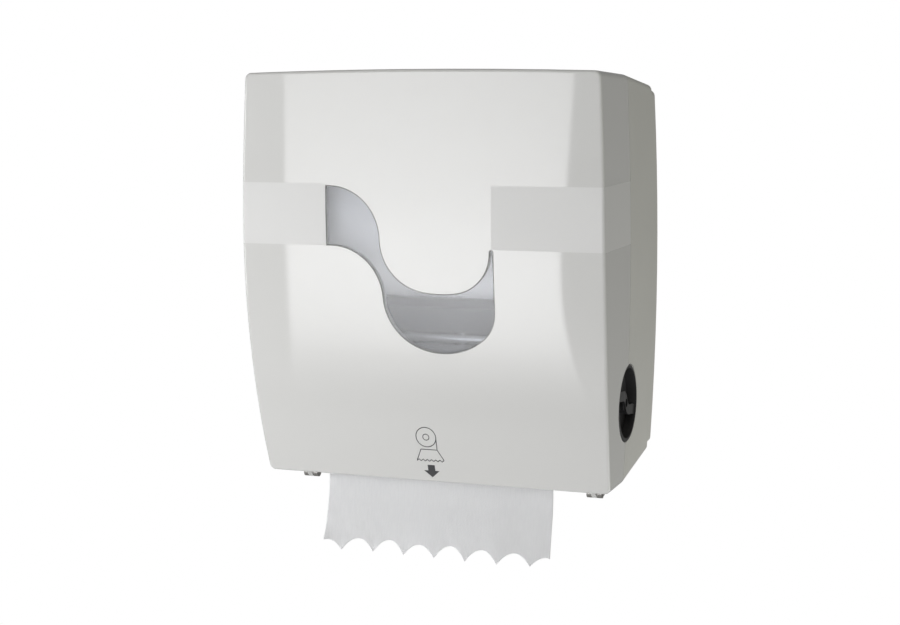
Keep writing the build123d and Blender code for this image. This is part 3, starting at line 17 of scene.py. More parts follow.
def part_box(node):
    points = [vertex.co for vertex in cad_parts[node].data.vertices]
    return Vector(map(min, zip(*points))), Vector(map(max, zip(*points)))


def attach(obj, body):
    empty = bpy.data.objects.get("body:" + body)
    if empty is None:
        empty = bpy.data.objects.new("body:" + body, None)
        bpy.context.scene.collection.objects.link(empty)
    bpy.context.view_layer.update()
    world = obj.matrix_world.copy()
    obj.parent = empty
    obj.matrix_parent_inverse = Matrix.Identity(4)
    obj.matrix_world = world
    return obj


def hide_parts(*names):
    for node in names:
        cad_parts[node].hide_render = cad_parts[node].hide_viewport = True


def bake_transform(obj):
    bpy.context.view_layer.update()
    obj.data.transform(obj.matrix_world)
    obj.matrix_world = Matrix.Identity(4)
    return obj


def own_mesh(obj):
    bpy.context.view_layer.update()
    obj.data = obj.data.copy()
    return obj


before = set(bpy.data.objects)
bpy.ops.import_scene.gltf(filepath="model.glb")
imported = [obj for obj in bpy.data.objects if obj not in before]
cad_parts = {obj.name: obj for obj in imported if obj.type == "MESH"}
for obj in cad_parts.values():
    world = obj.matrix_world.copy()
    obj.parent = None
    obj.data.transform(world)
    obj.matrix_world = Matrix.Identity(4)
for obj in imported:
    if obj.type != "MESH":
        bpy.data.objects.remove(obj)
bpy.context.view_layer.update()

# %% [markdown]
# ## Millimetres and the case
# The drawings of the case are in millimetres, and heights are measured from
# its bottom edge. Blender wants metres from the middle of the wall screws, so
# two small helpers turn one into the other and the rest can use the drawings.

# %% Sizes of the case
mm = 0.001
bottom_edge = -235.0  # below the wall screws' centre
case_depth = 223.0
front_radius = 763.0  # the front curves back below the straight part
straight_height = 264.0
wall = 2.8
band_low, band_high = 217.5, 273.0  # the matte band across the front
stem_left, notch_right = -86.0, 67.5  # the band stops at the window's two ends


def front_depth(height, inset=0.0):
    """Depth (mm) of the front face at a height: an arc of one radius that ends
    upright where the straight upper part begins."""
    below = np.maximum(straight_height - np.asarray(height, float), 0.0)
    return -case_depth + front_radius - np.sqrt((front_radius - inset) ** 2 - below**2)


def on_front(flat, inset=0.0):
    """Points (x, height) in mm laid on the front face, pushed in by an inset,
    as points in metres."""
    flat = np.asarray(flat, float)
    depth = front_depth(flat[..., 1], inset)
    return np.stack([flat[..., 0], depth, flat[..., 1] + bottom_edge], -1) * mm


print("front face at the bottom edge is at y =", round(float(front_depth(0.0)), 1), "mm")

# %% [markdown]
# ## The camera
# The picture was taken from the right and a little above, with a long lens.
# The numbers come from matching corners of the case in the picture with the
# same corners of the CAD model. A small sideways shift of the lens keeps the
# uprights as they are seen.

# %% Place the camera
picture_width = 900  # pixels
focal_pixels, centre_column = 1973.14428, 300.0
camera_place = (0.577275, -1.847299, 0.143136)
camera_yaw, camera_pitch, camera_roll = 0.400977, 0.125054, -0.009442

forward = np.array(
    [
        -math.sin(camera_yaw) * math.cos(camera_pitch),
        math.cos(camera_yaw) * math.cos(camera_pitch),
        -math.sin(camera_pitch),
    ]
)
level = np.array([math.cos(camera_yaw), math.sin(camera_yaw), 0.0])
upright = np.cross(level, forward)
across = level * math.cos(camera_roll) + upright * math.sin(camera_roll)
upward = -level * math.sin(camera_roll) + upright * math.cos(camera_roll)

lens = bpy.data.cameras.new("long_lens")
lens.sensor_width = 36.0
lens.lens = focal_pixels * lens.sensor_width / picture_width
lens.shift_x = (picture_width / 2 - centre_column) / picture_width
lens.clip_end = 100.0
camera = bpy.data.objects.new("camera", lens)
turned = np.stack([across, upward, -forward, camera_place], 1)
camera.matrix_world = Matrix([*turned.tolist(), [0, 0, 0, 1]])
bpy.context.scene.collection.objects.link(camera)
bpy.context.scene.camera = camera
print("lens", round(lens.lens, 2), "mm, shift", round(lens.shift_x, 4))

# %% [markdown]
# ## Wiring materials in code
# A material is a small graph. These helpers add a node, feed its inputs with
# a value or another node's output, and do arithmetic, so that each finish can
# be read from top to bottom like a recipe.


# %% Helpers for node graphs
def empty_tree(owner):
    """The node graph of a new material or world, without its first nodes."""
    owner.use_nodes = True
    owner.node_tree.nodes.clear()
    return owner.node_tree


def add_node(tree, kind, feeds=None, **settings):
    """One new node, with its settings made and its inputs fed."""
    made = tree.nodes.new(kind)
    for name, value in settings.items():
        setattr(made, name, value)
    for name, value in (feeds or {}).items():
        feed(tree, made.inputs[name], value)
    return made


def feed(tree, socket, value):
    """Links an output to a socket, or sets the socket's own value. A colour is
    given as three numbers, and is opaque."""
    if isinstance(value, bpy.types.NodeSocket):
        tree.links.new(value, socket)
    else:
        socket.default_value = (*value, 1.0) if socket.type == "RGBA" else value


def sum_of(tree, operation, first, second=0.0, third=0.0, clamp=False):
    """Arithmetic on up to three values."""
    made = add_node(tree, "ShaderNodeMath", {0: first, 1: second, 2: third}, operation=operation)
    made.use_clamp = clamp
    return made.outputs[0]


def scaled(tree, value, factor, extra=0.0):
    """A value times a factor, plus an extra."""
    return sum_of(tree, "MULTIPLY_ADD", value, factor, extra)


def remap(tree, value, from_low, from_high, to_low, to_high):
    """A value carried smoothly from one range to another and held inside it."""
    feeds = {0: value, 1: from_low, 2: from_high, 3: to_low, 4: to_high}
    made = add_node(tree, "ShaderNodeMapRange", feeds, interpolation_type="SMOOTHSTEP")
    return made.outputs[0]


def blend_colours(tree, share, first, second):
    """Two colours mixed by a share from 0 to 1."""
    made = add_node(tree, "ShaderNodeMix", data_type="RGBA")
    feed(tree, made.inputs[0], share)
    feed(tree, made.inputs[6], first)
    feed(tree, made.inputs[7], second)
    return made.outputs[2]


def noise(tree, place, scale, detail=3.0, roughness=0.5, distortion=0.0):
    """Soft random blotches from 0 to 1, scale in blotches per metre."""
    feeds = {"Vector": place, "Scale": scale, "Detail": detail}
    feeds |= {"Roughness": roughness, "Distortion": distortion}
    return add_node(tree, "ShaderNodeTexNoise", feeds).outputs["Fac"]


def vector_sum(tree, operation, first, second=(0, 0, 0)):
    """Arithmetic on two vectors: the results, by the names Vector and Value."""
    feeds = {0: first, 1: second}
    return add_node(tree, "ShaderNodeVectorMath", feeds, operation=operation).outputs


def stretched(tree, place, scale):
    """The place with each axis squeezed, so that blotches become streaks."""
    return add_node(tree, "ShaderNodeMapping", {"Vector": place, "Scale": scale}).outputs[0]


def parts_of(tree, vector):
    """The X, Y and Z of a vector, each as a value."""
    return add_node(tree, "ShaderNodeSeparateXYZ", {0: vector}).outputs


def new_group(name, inputs, outputs):
    """A node group with named inputs and outputs, each (name, kind, value)."""
    tree = bpy.data.node_groups.new(name, "ShaderNodeTree")
    for direction, rows in (("INPUT", inputs), ("OUTPUT", outputs)):
        for row in rows:
            made = tree.interface.new_socket(
                name=row[0], in_out=direction, socket_type="NodeSocket" + row[1]
            )
            if len(row) > 2:
                made.default_value = row[2]
    given = tree.nodes.new("NodeGroupInput").outputs
    wanted = tree.nodes.new("NodeGroupOutput").inputs
    return tree, given, wanted


def use_group(tree, name, feeds):
    """The outputs of a group placed in a material, with this material's values."""
    group = bpy.data.node_groups[name]
    return add_node(tree, "ShaderNodeGroup", feeds, node_tree=group).outputs


# %% [markdown]
# ## Effects that several finishes share
# A real surface is never perfectly even. Each kind of unevenness could be
# wired again in each material, but then a change would have to be made many
# times. Here each is one group, built once and tuned where it is used.

# %% [markdown]
# ### The texture a mould leaves
# Moulded plastic copies the fine grain of its steel mould and cools in slow
# clouds. Two noises stand for the two: the fine one goes to the bump, the slow
# one to colour and gloss.

# %% Group: texture left by a mould
tree, given, wanted = new_group(
    "mould_texture",
    [("Place", "Vector"), ("Grains per metre", "Float", 2500.0), ("Cloud", "Float", 0.5)],
    [("Height", "Float"), ("Shade", "Float")],
)
fine = noise(tree, given["Place"], given["Grains per metre"], 2.0, 0.6)
cloud = noise(tree, given["Place"], 14.0, 3.0, 0.55)
swing = sum_of(tree, "SUBTRACT", cloud, 0.5)
shade = scaled(tree, swing, given["Cloud"], 0.5)
feed(tree, wanted["Height"], fine)
feed(tree, wanted["Shade"], shade)

# %% [markdown]
# ### Lines in metal
# Wire is drawn and blades are ground, which leaves lines in one direction. A
# noise squeezed across that direction gives them without an image.

# %% Group: lines left by drawing or grinding metal
tree, given, wanted = new_group(
    "drawn_lines",
    [("Place", "Vector"), ("Squeeze", "Vector", (40.0, 2500.0, 2500.0))],
    [("Height", "Float"), ("Shade", "Float")],
)
along = stretched(tree, given["Place"], given["Squeeze"])
lines = noise(tree, along, 1.0, 4.0, 0.65)
stain = noise(tree, given["Place"], 120.0, 3.0, 0.5)
both = sum_of(tree, "ADD", lines, stain)
feed(tree, wanted["Height"], lines)
feed(tree, wanted["Shade"], scaled(tree, both, 0.5))

# %% [markdown]
# ### Rubbed edges
# Corners lose their texture where hands and cloths pass. The mesh itself knows
# where it is sharp, so its pointedness, broken up by a noise, makes the mask.

# %% Group: rubbed edges
tree, given, wanted = new_group(
    "rubbed_edges",
    [("Place", "Vector"), ("Sharpness", "Float", 0.53), ("Patchiness", "Float", 180.0)],
    [("Mask", "Float")],
)
pointed = tree.nodes.new("ShaderNodeNewGeometry").outputs["Pointiness"]
patchy = noise(tree, given["Place"], given["Patchiness"], 3.0)
patches = remap(tree, patchy, 0.35, 0.65, 0.2, 1.0)
edge = remap(tree, pointed, given["Sharpness"], 0.62, 0.0, 1.0)
feed(tree, wanted["Mask"], scaled(tree, edge, patches))

# %% [markdown]
# ### Settled dust
# Dust lies on what faces up, and nowhere else. The height part of the normal
# says how far a face looks up, and fine specks make it uneven.

# %% Group: dust that settles on upward faces
tree, given, wanted = new_group(
    "settled_dust",
    [("Place", "Vector"), ("Amount", "Float", 0.3)],
    [("Mask", "Float")],
)
facing = tree.nodes.new("ShaderNodeNewGeometry").outputs["Normal"]
upness = remap(tree, parts_of(tree, facing)["Z"], 0.55, 1.0, 0.0, 1.0)
specks = noise(tree, given["Place"], 900.0, 4.0, 0.7)
settled = scaled(tree, upness, specks)
feed(tree, wanted["Mask"], scaled(tree, settled, given["Amount"]))

# %% [markdown]
# ### Embossed paper
# Towel paper is pressed between rollers with fine ribs, and its fibres lie in
# streaks. Ribs modelled one by one would need millions of faces, so they are a
# height map: a sine across the sheet, another along it, streaks and fibre.

# %% Group: embossing of towel paper
tree, given, wanted = new_group(
    "paper_emboss",
    [("Place", "Vector"), ("Rib pitch", "Float", 1.1), ("Bead pitch", "Float", 1.7)],
    [("Height", "Float"), ("Shade", "Float")],
)
in_mm = stretched(tree, given["Place"], (1000.0, 1000.0, 1000.0))
spread = parts_of(tree, in_mm)
wander = noise(tree, in_mm, 0.12, 3.0)
wandering = scaled(tree, wander, 1.6, spread["X"])
waves = []
for distance, pitch in ((wandering, given["Rib pitch"]), (spread["Y"], given["Bead pitch"])):
    turns = sum_of(tree, "DIVIDE", distance, pitch)
    waves.append(sum_of(tree, "SINE", scaled(tree, turns, math.tau)))
ribs, beads = waves
streak = noise(tree, stretched(tree, in_mm, (1.0, 0.09, 1.0)), 0.8, 4.0, 0.65)
fibre = noise(tree, in_mm, 3.2, 3.0, 0.7)
crossing = scaled(tree, ribs, beads)
relief = scaled(tree, crossing, 0.16, fibre)
relief = scaled(tree, ribs, 0.14, relief)
feed(tree, wanted["Height"], sum_of(tree, "ADD", relief, streak))
fibre = scaled(tree, fibre, 0.3)
feed(tree, wanted["Shade"], scaled(tree, streak, 0.7, fibre))
print("groups:", [g.name for g in bpy.data.node_groups])

# %% [markdown]
# ## Finishes
# There is one material for each finish that the part's record names. Each
# starts from the same base: a principled shader, the object's own coordinates
# for patterns, and a bump. What differs is colour, gloss and which effects
# are laid over them.


# %% Base of every finish
def new_finish(name, roughness=0.5, metallic=0.0):
    """A material with one principled shader: returns it, its tree, the shader
    and the object coordinates that patterns read."""
    material = bpy.data.materials.new(name)
    tree = empty_tree(material)
    shader = tree.nodes.new("ShaderNodeBsdfPrincipled")
    add_node(tree, "ShaderNodeOutputMaterial", {0: shader.outputs[0]})
    shader.inputs["Roughness"].default_value = roughness
    shader.inputs["Metallic"].default_value = metallic
    place = tree.nodes.new("ShaderNodeTexCoord").outputs["Object"]
    return material, tree, shader, place


def bump(tree, shader, height, depth):
    """Relief of a height map, its full depth in mm."""
    made = add_node(tree, "ShaderNodeBump", {"Height": height, "Distance": depth * mm})
    feed(tree, shader.inputs["Normal"], made.outputs[0])


# %% [markdown]
# ### The glossy front with its matte band
# The cover is one polished moulding. A band at hand height is etched matte in
# the mould, from the window's ends round both sides. It is the same plastic:
# roughness and texture change, and its colour is made a little paler, which is
# painted light for the brighter look of the matte band under the softbox. A
# mask that reads height and width switches all three. A mask needs no seam in
# the mesh and stays sharp at any size.

# %% Gloss front
gloss_front, tree, shader, place = new_finish("gloss_front")
grain = {"Place": place, "Grains per metre": 1400.0, "Cloud": 0.35}
texture = use_group(tree, "mould_texture", grain)
axes = parts_of(tree, place)
edge_width, matte_extra = 0.3, 0.42


def switch_at(value, at, before, after):
    """A mask that changes at a place given in mm, as sharply as the mould."""
    return remap(tree, value, at * mm, (at + edge_width) * mm, before, after)


above = switch_at(axes["Z"], bottom_edge + band_low, 0, 1)
below = switch_at(axes["Z"], bottom_edge + band_high, 1, 0)
left_part = switch_at(axes["X"], stem_left, 1, 0)
right_part = switch_at(axes["X"], notch_right, 0, 1)
outside = sum_of(tree, "ADD", left_part, right_part, clamp=True)
band = scaled(tree, scaled(tree, above, below), outside)
dust = use_group(tree, "settled_dust", {"Place": place, "Amount": 0.25})["Mask"]
shade = texture["Shade"]
plain = blend_colours(tree, shade, (0.742, 0.742, 0.728), (0.768, 0.768, 0.755))
# Painted light: the matte band gets a paler colour than the plain gloss.
band_painted_light = blend_colours(tree, band, plain, (0.79, 0.79, 0.782))
feed(tree, shader.inputs["Base Color"], blend_colours(tree, dust, band_painted_light, (0.6, 0.58, 0.54)))
polish = remap(tree, shade, 0.3, 0.7, 0.025, 0.04)
matte = scaled(tree, band, matte_extra, polish)
feed(tree, shader.inputs["Roughness"], scaled(tree, dust, 0.4, matte))
etched = remap(tree, band, 0, 1, 0.03, 0.6)
relief = scaled(tree, texture["Height"], etched)
bump(tree, shader, relief, 0.03)
print("gloss front: band from", band_low, "to", band_high, "mm")

# %% [markdown]
# ### Matte housing, frames and bearings
# The housing behind the seam is a greyer plastic with a fine spark texture.
# The inner mouldings differ only in colour and in how much they shine, so one
# recipe makes them all.


# %% Plain mouldings
def moulded(
    name, dark, light, roughness=0.45, grains=2400, depth=0.04, dust=0.2, worn=None, inside=None
):
    """A moulded plastic: two close colours in clouds, so many grains per metre
    of a depth in mm, a share of dust on top and lighter rubbed edges. An inside
    colour, painted shade, goes on faces that look towards the middle of the case."""
    material, tree, shader, place = new_finish(name)
    grain = {"Place": place, "Grains per metre": grains, "Cloud": 0.9}
    texture = use_group(tree, "mould_texture", grain)
    shade = texture["Shade"]
    mixed = blend_colours(tree, shade, dark, light)
    # Painted shade: faces turned towards the middle of the case take the darker inside colour.
    if inside:
        facing = tree.nodes.new("ShaderNodeNewGeometry").outputs["Normal"]
        from_middle = vector_sum(tree, "SUBTRACT", place, case_middle)["Vector"]
        outward = vector_sum(tree, "DOT_PRODUCT", from_middle, facing)["Value"]
        mixed = blend_colours(tree, remap(tree, outward, -0.001, 0.0, 1.0, 0.0), mixed, inside)
    rubbed = use_group(tree, "rubbed_edges", {"Place": place})["Mask"]
    mixed = blend_colours(tree, scaled(tree, rubbed, 0.5), mixed, worn or light)
    dusty = use_group(tree, "settled_dust", {"Place": place, "Amount": dust})["Mask"]
    mixed = blend_colours(tree, dusty, mixed, (0.52, 0.5, 0.47))
    feed(tree, shader.inputs["Base Color"], mixed)
    rough = remap(tree, shade, 0.2, 0.8, roughness - 0.05, roughness + 0.05)
    rough = scaled(tree, rubbed, -0.12, rough)
    feed(tree, shader.inputs["Roughness"], scaled(tree, dusty, 0.3, rough))
    bump(tree, shader, texture["Height"], depth)
    return material


case_middle = (0.0, -0.1, -0.05)
# The housing's darker inside colour is painted shade inside the case.
matte_housing = moulded(
    "matte_housing", (0.70, 0.70, 0.66), (0.76, 0.76, 0.72),
    roughness=0.46, grains=2600, dust=0.3, inside=(0.5, 0.51, 0.53),
)
black_moulding = moulded(
    "black_moulding", (0.018, 0.018, 0.019), (0.028, 0.028, 0.029),
    roughness=0.4, grains=3000, depth=0.03, dust=0.1, worn=(0.06, 0.06, 0.06),
)
grey_frame = moulded(
    "grey_frame", (0.29, 0.3, 0.31), (0.37, 0.38, 0.39), roughness=0.48, grains=2200, dust=0.25
)
natural_bearing = moulded(
    "natural_bearing", (0.7, 0.68, 0.62), (0.8, 0.78, 0.72),
    roughness=0.38, grains=1800, depth=0.02, dust=0.15,
)
drum_moulding = moulded("drum_moulding", (0.16, 0.17, 0.18), (0.22, 0.23, 0.24))
grip_rubber = moulded(
    "grip_rubber", (0.035, 0.035, 0.036), (0.06, 0.06, 0.06),
    roughness=0.75, grains=1500, depth=0.08,
)
print("one moulding takes", len(grip_rubber.node_tree.nodes), "nodes")

# %% [markdown]
# ### Metal
# Screws, pins and springs are steel. Their shine is drawn out along the way
# the metal was worked, with faint stains where hands and oil have been.


# %% Steels
def worked_metal(name, dark, light, roughness, squeeze):
    """Metal with lines along the axis that is squeezed least: two shades, and
    a roughness that follows the lines."""
    material, tree, shader, place = new_finish(name, metallic=1.0)
    made = use_group(tree, "drawn_lines", {"Place": place, "Squeeze": squeeze})
    shade = made["Shade"]
    feed(tree, shader.inputs["Base Color"], blend_colours(tree, shade, dark, light))
    rough = remap(tree, shade, 0.3, 0.7, roughness - 0.07, roughness + 0.1)
    feed(tree, shader.inputs["Roughness"], rough)
    bump(tree, shader, made["Height"], 0.01)
    return material


bright_plate = worked_metal(
    "bright_plate", (0.35, 0.34, 0.325), (0.6, 0.59, 0.57), 0.3, (300, 2200, 2200)
)
zinc_steel = worked_metal(
    "zinc_steel", (0.42, 0.43, 0.44), (0.66, 0.67, 0.68), 0.34, (900, 900, 900)
)
spring_wire = worked_metal(
    "spring_wire", (0.3, 0.3, 0.31), (0.52, 0.52, 0.53), 0.28, (1500, 300, 300)
)
ground_blade = worked_metal(
    "ground_blade", (0.5, 0.51, 0.53), (0.74, 0.75, 0.77), 0.24, (3000, 60, 60)
)
lock_chrome = worked_metal(
    "lock_chrome", (0.7, 0.7, 0.7), (0.85, 0.85, 0.85), 0.1, (500, 500, 500)
)

# %% [markdown]
# ### Cardboard core
# The core is board wound in a spiral, so its joint runs round it as a slanting
# line. Angle round the core plus distance along it gives that line.

# %% Spiral board
roll_centre = (-116.0, 15.8)  # the roll's axis in the side view, (y, z)
board_width, joint_share = 70.0, 0.03
core_board, tree, shader, place = new_finish("core_board", roughness=0.85)
axes = parts_of(tree, place)
behind = sum_of(tree, "SUBTRACT", axes["Y"], roll_centre[0] * mm)
above = sum_of(tree, "SUBTRACT", axes["Z"], roll_centre[1] * mm)
turns = sum_of(tree, "DIVIDE", sum_of(tree, "ARCTAN2", above, behind), math.tau)
turns = scaled(tree, axes["X"], 1 / (board_width * mm), turns)
joint = remap(tree, sum_of(tree, "FRACT", turns), 0.0, joint_share, 1.0, 0.0)
fibre = noise(tree, stretched(tree, place, (1.0, 4.0, 4.0)), 420.0, 4.0, 0.7)
board = blend_colours(tree, fibre, (0.36, 0.26, 0.17), (0.56, 0.43, 0.3))
feed(tree, shader.inputs["Base Color"], blend_colours(tree, joint, board, (0.2, 0.14, 0.09)))
bump(tree, shader, sum_of(tree, "SUBTRACT", fibre, joint), 0.12)

# %% [markdown]
# ### Towel paper
# The paper is one thin ply, pressed between ribbed rollers. The relief reads
# the sheet's own flat coordinates, so that the ribs run along the paper
# wherever it goes: round the roll, round the drum and down the tail.

# %% Towel paper
towel_paper, tree, shader, place = new_finish("towel_paper", roughness=0.9)
shader.inputs["Sheen Weight"].default_value = 0.15
shader.inputs["Sheen Roughness"].default_value = 0.6
flat_place = add_node(tree, "ShaderNodeUVMap", uv_map="sheet").outputs[0]
pressed = use_group(tree, "paper_emboss", {"Place": flat_place, "Rib pitch": 1.3})
cloudy = scaled(tree, noise(tree, place, 30.0, 3.0), 0.2)
paper_shade = scaled(tree, pressed["Shade"], 0.8, cloudy)
paper_shade = remap(tree, paper_shade, 0.3, 0.7, 0, 1)
paper_white = blend_colours(tree, paper_shade, (0.80, 0.805, 0.82), (0.86, 0.865, 0.875))
feed(tree, shader.inputs["Base Color"], paper_white)
bump(tree, shader, pressed["Height"], 0.16)

# %% [markdown]
# ### The smoked window
# The pane is grey-tinted clear plastic. Most of the light goes through and
# shows the roll, a little is scattered, and the polished face adds its own
# reflection. The transmission weight and the roughness set how much is
# scattered, and the first stays one plain number.

# %% Smoked pane
smoked_pane, tree, shader, place = new_finish("smoked_pane")
shader.inputs["Transmission Weight"].default_value = 0.97
shader.inputs["IOR"].default_value = 1.44
swirl = noise(tree, place, 22.0, 2.0, 0.5, 0.4)
smoke = blend_colours(tree, swirl, (0.82, 0.84, 0.875), (0.86, 0.87, 0.895))
feed(tree, shader.inputs["Base Color"], smoke)
feed(tree, shader.inputs["Roughness"], remap(tree, swirl, 0.3, 0.7, 0.10, 0.13))
bump(tree, shader, noise(tree, place, 60.0, 2.0), 0.02)

# %% [markdown]
# ## Finishes on the CAD parts
# Each CAD part comes with the name of its finish. The list below says which
# material stands for which name, and a loop puts it in the part's slot. The
# mesh itself isn't touched.

# %% Dress the CAD parts
finish_of_slot = {
    "case_front": gloss_front,
    "case_rear": matte_housing,
    "smoked_window": smoked_pane,
    "black_plastic": black_moulding,
    "frame_plastic": grey_frame,
    "bearing_plastic": natural_bearing,
    "drum_plastic": drum_moulding,
    "rubber": grip_rubber,
    "bright_steel": bright_plate,
    "steel": zinc_steel,
    "spring_steel": spring_wire,
    "blade_steel": ground_blade,
    "chrome": lock_chrome,
    "cardboard": core_board,
    "paper": towel_paper,
}
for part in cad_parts.values():
    for place_in_part in part.material_slots:
        slot_name = place_in_part.material.name.split(".")[0]
        place_in_part.material = finish_of_slot[slot_name]
print("dressed", len(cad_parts), "CAD parts in", len(finish_of_slot), "finishes")

# %% [markdown]
# ## Surfaces from formulas
# The new pieces are grids: every row and column of points joins its
# neighbours with four-sided faces. A grid can close on itself in either
# direction, as a tube or a ring does.


# %% Helpers for meshes
def shade_smooth(mesh, crease=35.0):
    """Smooth faces, sharp where they meet at more than crease degrees."""
    mesh.polygons.foreach_set("use_smooth", np.ones(len(mesh.polygons), bool))
    mesh.set_sharp_from_angle(angle=math.radians(crease))


def build_piece(name, points, faces, material, flat=None, crease=35.0):
    """An object at the origin from points in metres. flat is each point's
    place on the uncut sheet, kept as a UV map."""
    mesh = bpy.data.meshes.new(name)
    if isinstance(faces, np.ndarray):
        faces = faces.tolist()
    mesh.from_pydata(np.asarray(points, float).reshape(-1, 3).tolist(), [], faces)
    mesh.materials.append(material)
    if flat is not None:
        corners = np.empty(len(mesh.loops), np.int32)
        mesh.loops.foreach_get("vertex_index", corners)
        layer = mesh.uv_layers.new(name="sheet")
        layer.data.foreach_set("uv", np.asarray(flat, np.float32).reshape(-1, 2)[corners].ravel())
    mesh.validate()
    mesh.update()
    shade_smooth(mesh, crease)
    piece = bpy.data.objects.new(name, mesh)
    bpy.context.scene.collection.objects.link(piece)
    return piece


def grid_faces(rows, columns, closed_rows=False, closed_columns=False, flip=False):
    """Four-sided faces between neighbouring points of a grid."""
    index = np.arange(rows * columns).reshape(rows, columns)
    if closed_rows:
        index = np.vstack([index, index[:1]])
    if closed_columns:
        index = np.hstack([index, index[:, :1]])
    corners = [index[:-1, :-1], index[:-1, 1:], index[1:, 1:], index[1:, :-1]]
    if flip:
        corners.reverse()
    return np.stack(corners, -1).reshape(-1, 4)


def on_circle(centre, radius, angle):
    """Points on a circle at angles in radians: centre + radius (cos, sin)."""
    return np.asarray(centre) + radius * np.stack([np.cos(angle), np.sin(angle)], -1)


def carry_ring(path, outward, inward_axis, profile):
    """A closed profile of (along outward, along inward_axis) carried round a
    closed path: one row of points for each point of the path."""
    across = path[:, None, :] + profile[None, :, :1] * outward[:, None, :]
    return across + profile[None, :, 1:] * inward_axis[:, None, :]


def rounded_box(width, depth, radius, steps=4):
    """Profile of a bar with rounded corners, as points (across, in)."""
    turn = np.linspace(0, np.pi / 2, steps)
    corners = []
    for quarter, (sx, sy) in enumerate([(1, 1), (-1, 1), (-1, -1), (1, -1)]):
        angle = turn + quarter * np.pi / 2
        centre = np.array([sx * (width / 2 - radius), sy * (depth / 2 - radius)])
        corners.append(on_circle(centre, radius, angle))
    return np.concatenate(corners)


def thicken(piece, amount):
    """Makes a surface a wall of an even thickness in mm, half on each side."""
    solid = piece.modifiers.new("thickness", "SOLIDIFY")
    solid.thickness = amount * mm
    solid.offset = 0.0
    solid.use_even_offset = True
    solid.use_quality_normals = True
    return piece


# %% [markdown]
# ## The outline of the window
# The window is a stem that bends down into a bowl and ends in a narrow point.
# It is drawn with the same arcs as in the CAD model: some through three
# points, some that leave the last arc in its own direction.


# %% Outline of the window
def arc_through(start, middle, end, count):
    """Points on the circle through three points, without the last one."""
    ax, ay, bx, by, cx, cy = *start, *middle, *end
    double = 2 * (ax * (by - cy) + bx * (cy - ay) + cx * (ay - by))
    a2, b2, c2 = ax**2 + ay**2, bx**2 + by**2, cx**2 + cy**2
    centre_x = (a2 * (by - cy) + b2 * (cy - ay) + c2 * (ay - by)) / double
    centre_y = (a2 * (cx - bx) + b2 * (ax - cx) + c2 * (bx - ax)) / double
    centre = np.array([centre_x, centre_y])
    first, half, last = (
        math.atan2(p[1] - centre[1], p[0] - centre[0]) for p in (start, middle, end)
    )
    sweep, part = (last - first) % math.tau, (half - first) % math.tau
    if part > sweep:
        sweep -= math.tau
    angle = first + np.linspace(0, sweep, count, endpoint=False)
    radius = math.hypot(ax - centre[0], ay - centre[1])
    return on_circle(centre, radius, angle)


def arc_leaving(start, direction, end, count):
    """Points on the circle that leaves start in a direction and meets end."""
    start, direction, end = (np.asarray(v, float) for v in (start, direction, end))
    normal = np.array([-direction[1], direction[0]])
    chord = end - start
    radius = chord @ chord / (2 * chord @ normal)
    centre = start + normal * radius
    first = math.atan2(*(start - centre)[::-1])
    last = math.atan2(*(end - centre)[::-1])
    sweep = (last - first) % math.tau if radius > 0 else -((first - last) % math.tau)
    angle = first + np.linspace(0, sweep, count, endpoint=False)
    leaving = np.array([-math.sin(last), math.cos(last)]) * math.copysign(1, radius)
    return on_circle(centre, abs(radius), angle), leaving


def straight(start, end, count):
    """Points on a straight line, without the last one."""
    share = np.linspace(0, 1, count, endpoint=False)[:, None]
    return np.asarray(start, float) * (1 - share) + np.asarray(end, float) * share


falling, turning = arc_leaving((-34.9, 224), (0, -1), (5.6, 178.1), 54)
lowest, turning = arc_leaving((5.6, 178.1), turning, (32.7, 178), 26)
rising, _ = arc_leaving((32.7, 178), turning, (65.4, 215.6), 48)
right_bow, turning = arc_leaving((69.8, 161.9), (0, -1), (57.5, 136.2), 28)
under_bow, turning = arc_leaving((57.5, 136.2), turning, (-1.3, 126.8), 56)
left_bow, _ = arc_leaving((-1.3, 126.8), turning, (-33.9, 170.5), 52)
window_edge = np.concatenate(
    [
        straight((-86, 217.5), (-86, 271.6), 44),
        straight((-86, 271.6), (-82.5, 271.6), 4),
        arc_through((-82.5, 271.6), (-48.841, 257.659), (-34.9, 224), 60),
        falling,
        lowest,
        rising,
        arc_through((65.4, 215.6), (67.5, 217.7), (69.6, 215.6), 12),
        straight((69.6, 215.6), (69.8, 161.9), 44),
        right_bow,
        under_bow,
        left_bow,
        arc_through((-33.9, 170.5), (-47.666, 203.734), (-80.9, 217.5), 60),
        straight((-80.9, 217.5), (-86, 217.5), 6),
    ]
)


def aside_of(line, closed=True):
    """Unit direction to the left of a line at each of its points: the way from
    the point before to the next one, turned. Left is outside a clockwise
    outline."""
    if closed:
        ahead = np.roll(line, -1, 0) - np.roll(line, 1, 0)
    else:
        ahead = np.gradient(line, axis=0)
    ahead /= np.linalg.norm(ahead, axis=1, keepdims=True)
    return np.stack([-ahead[:, 1], ahead[:, 0]], -1)


edge_outward = aside_of(window_edge)
print("window outline:", len(window_edge), "points")


def front_frame(flat):
    """Unit vectors on the front face at points (x, height): the way into the
    case, which leans up as the face curves back."""
    lean = np.maximum(straight_height - flat[:, 1], 0.0) / front_radius
    return np.stack([np.zeros(len(flat)), np.sqrt(1 - lean**2), lean], -1)


# %% [markdown]
# ### Collar and joint line of the window
# Behind the pane a low white collar runs round the opening and stiffens the
# cover. Seen from the right through the pane, it makes the pale border along
# the left edges; its white is paler than the cover's plastic, which is painted
# light for the light it catches there. In front, the joint between pane and
# cover catches dirt and shows as a thin grey line. Both are small profiles
# carried round the outline.


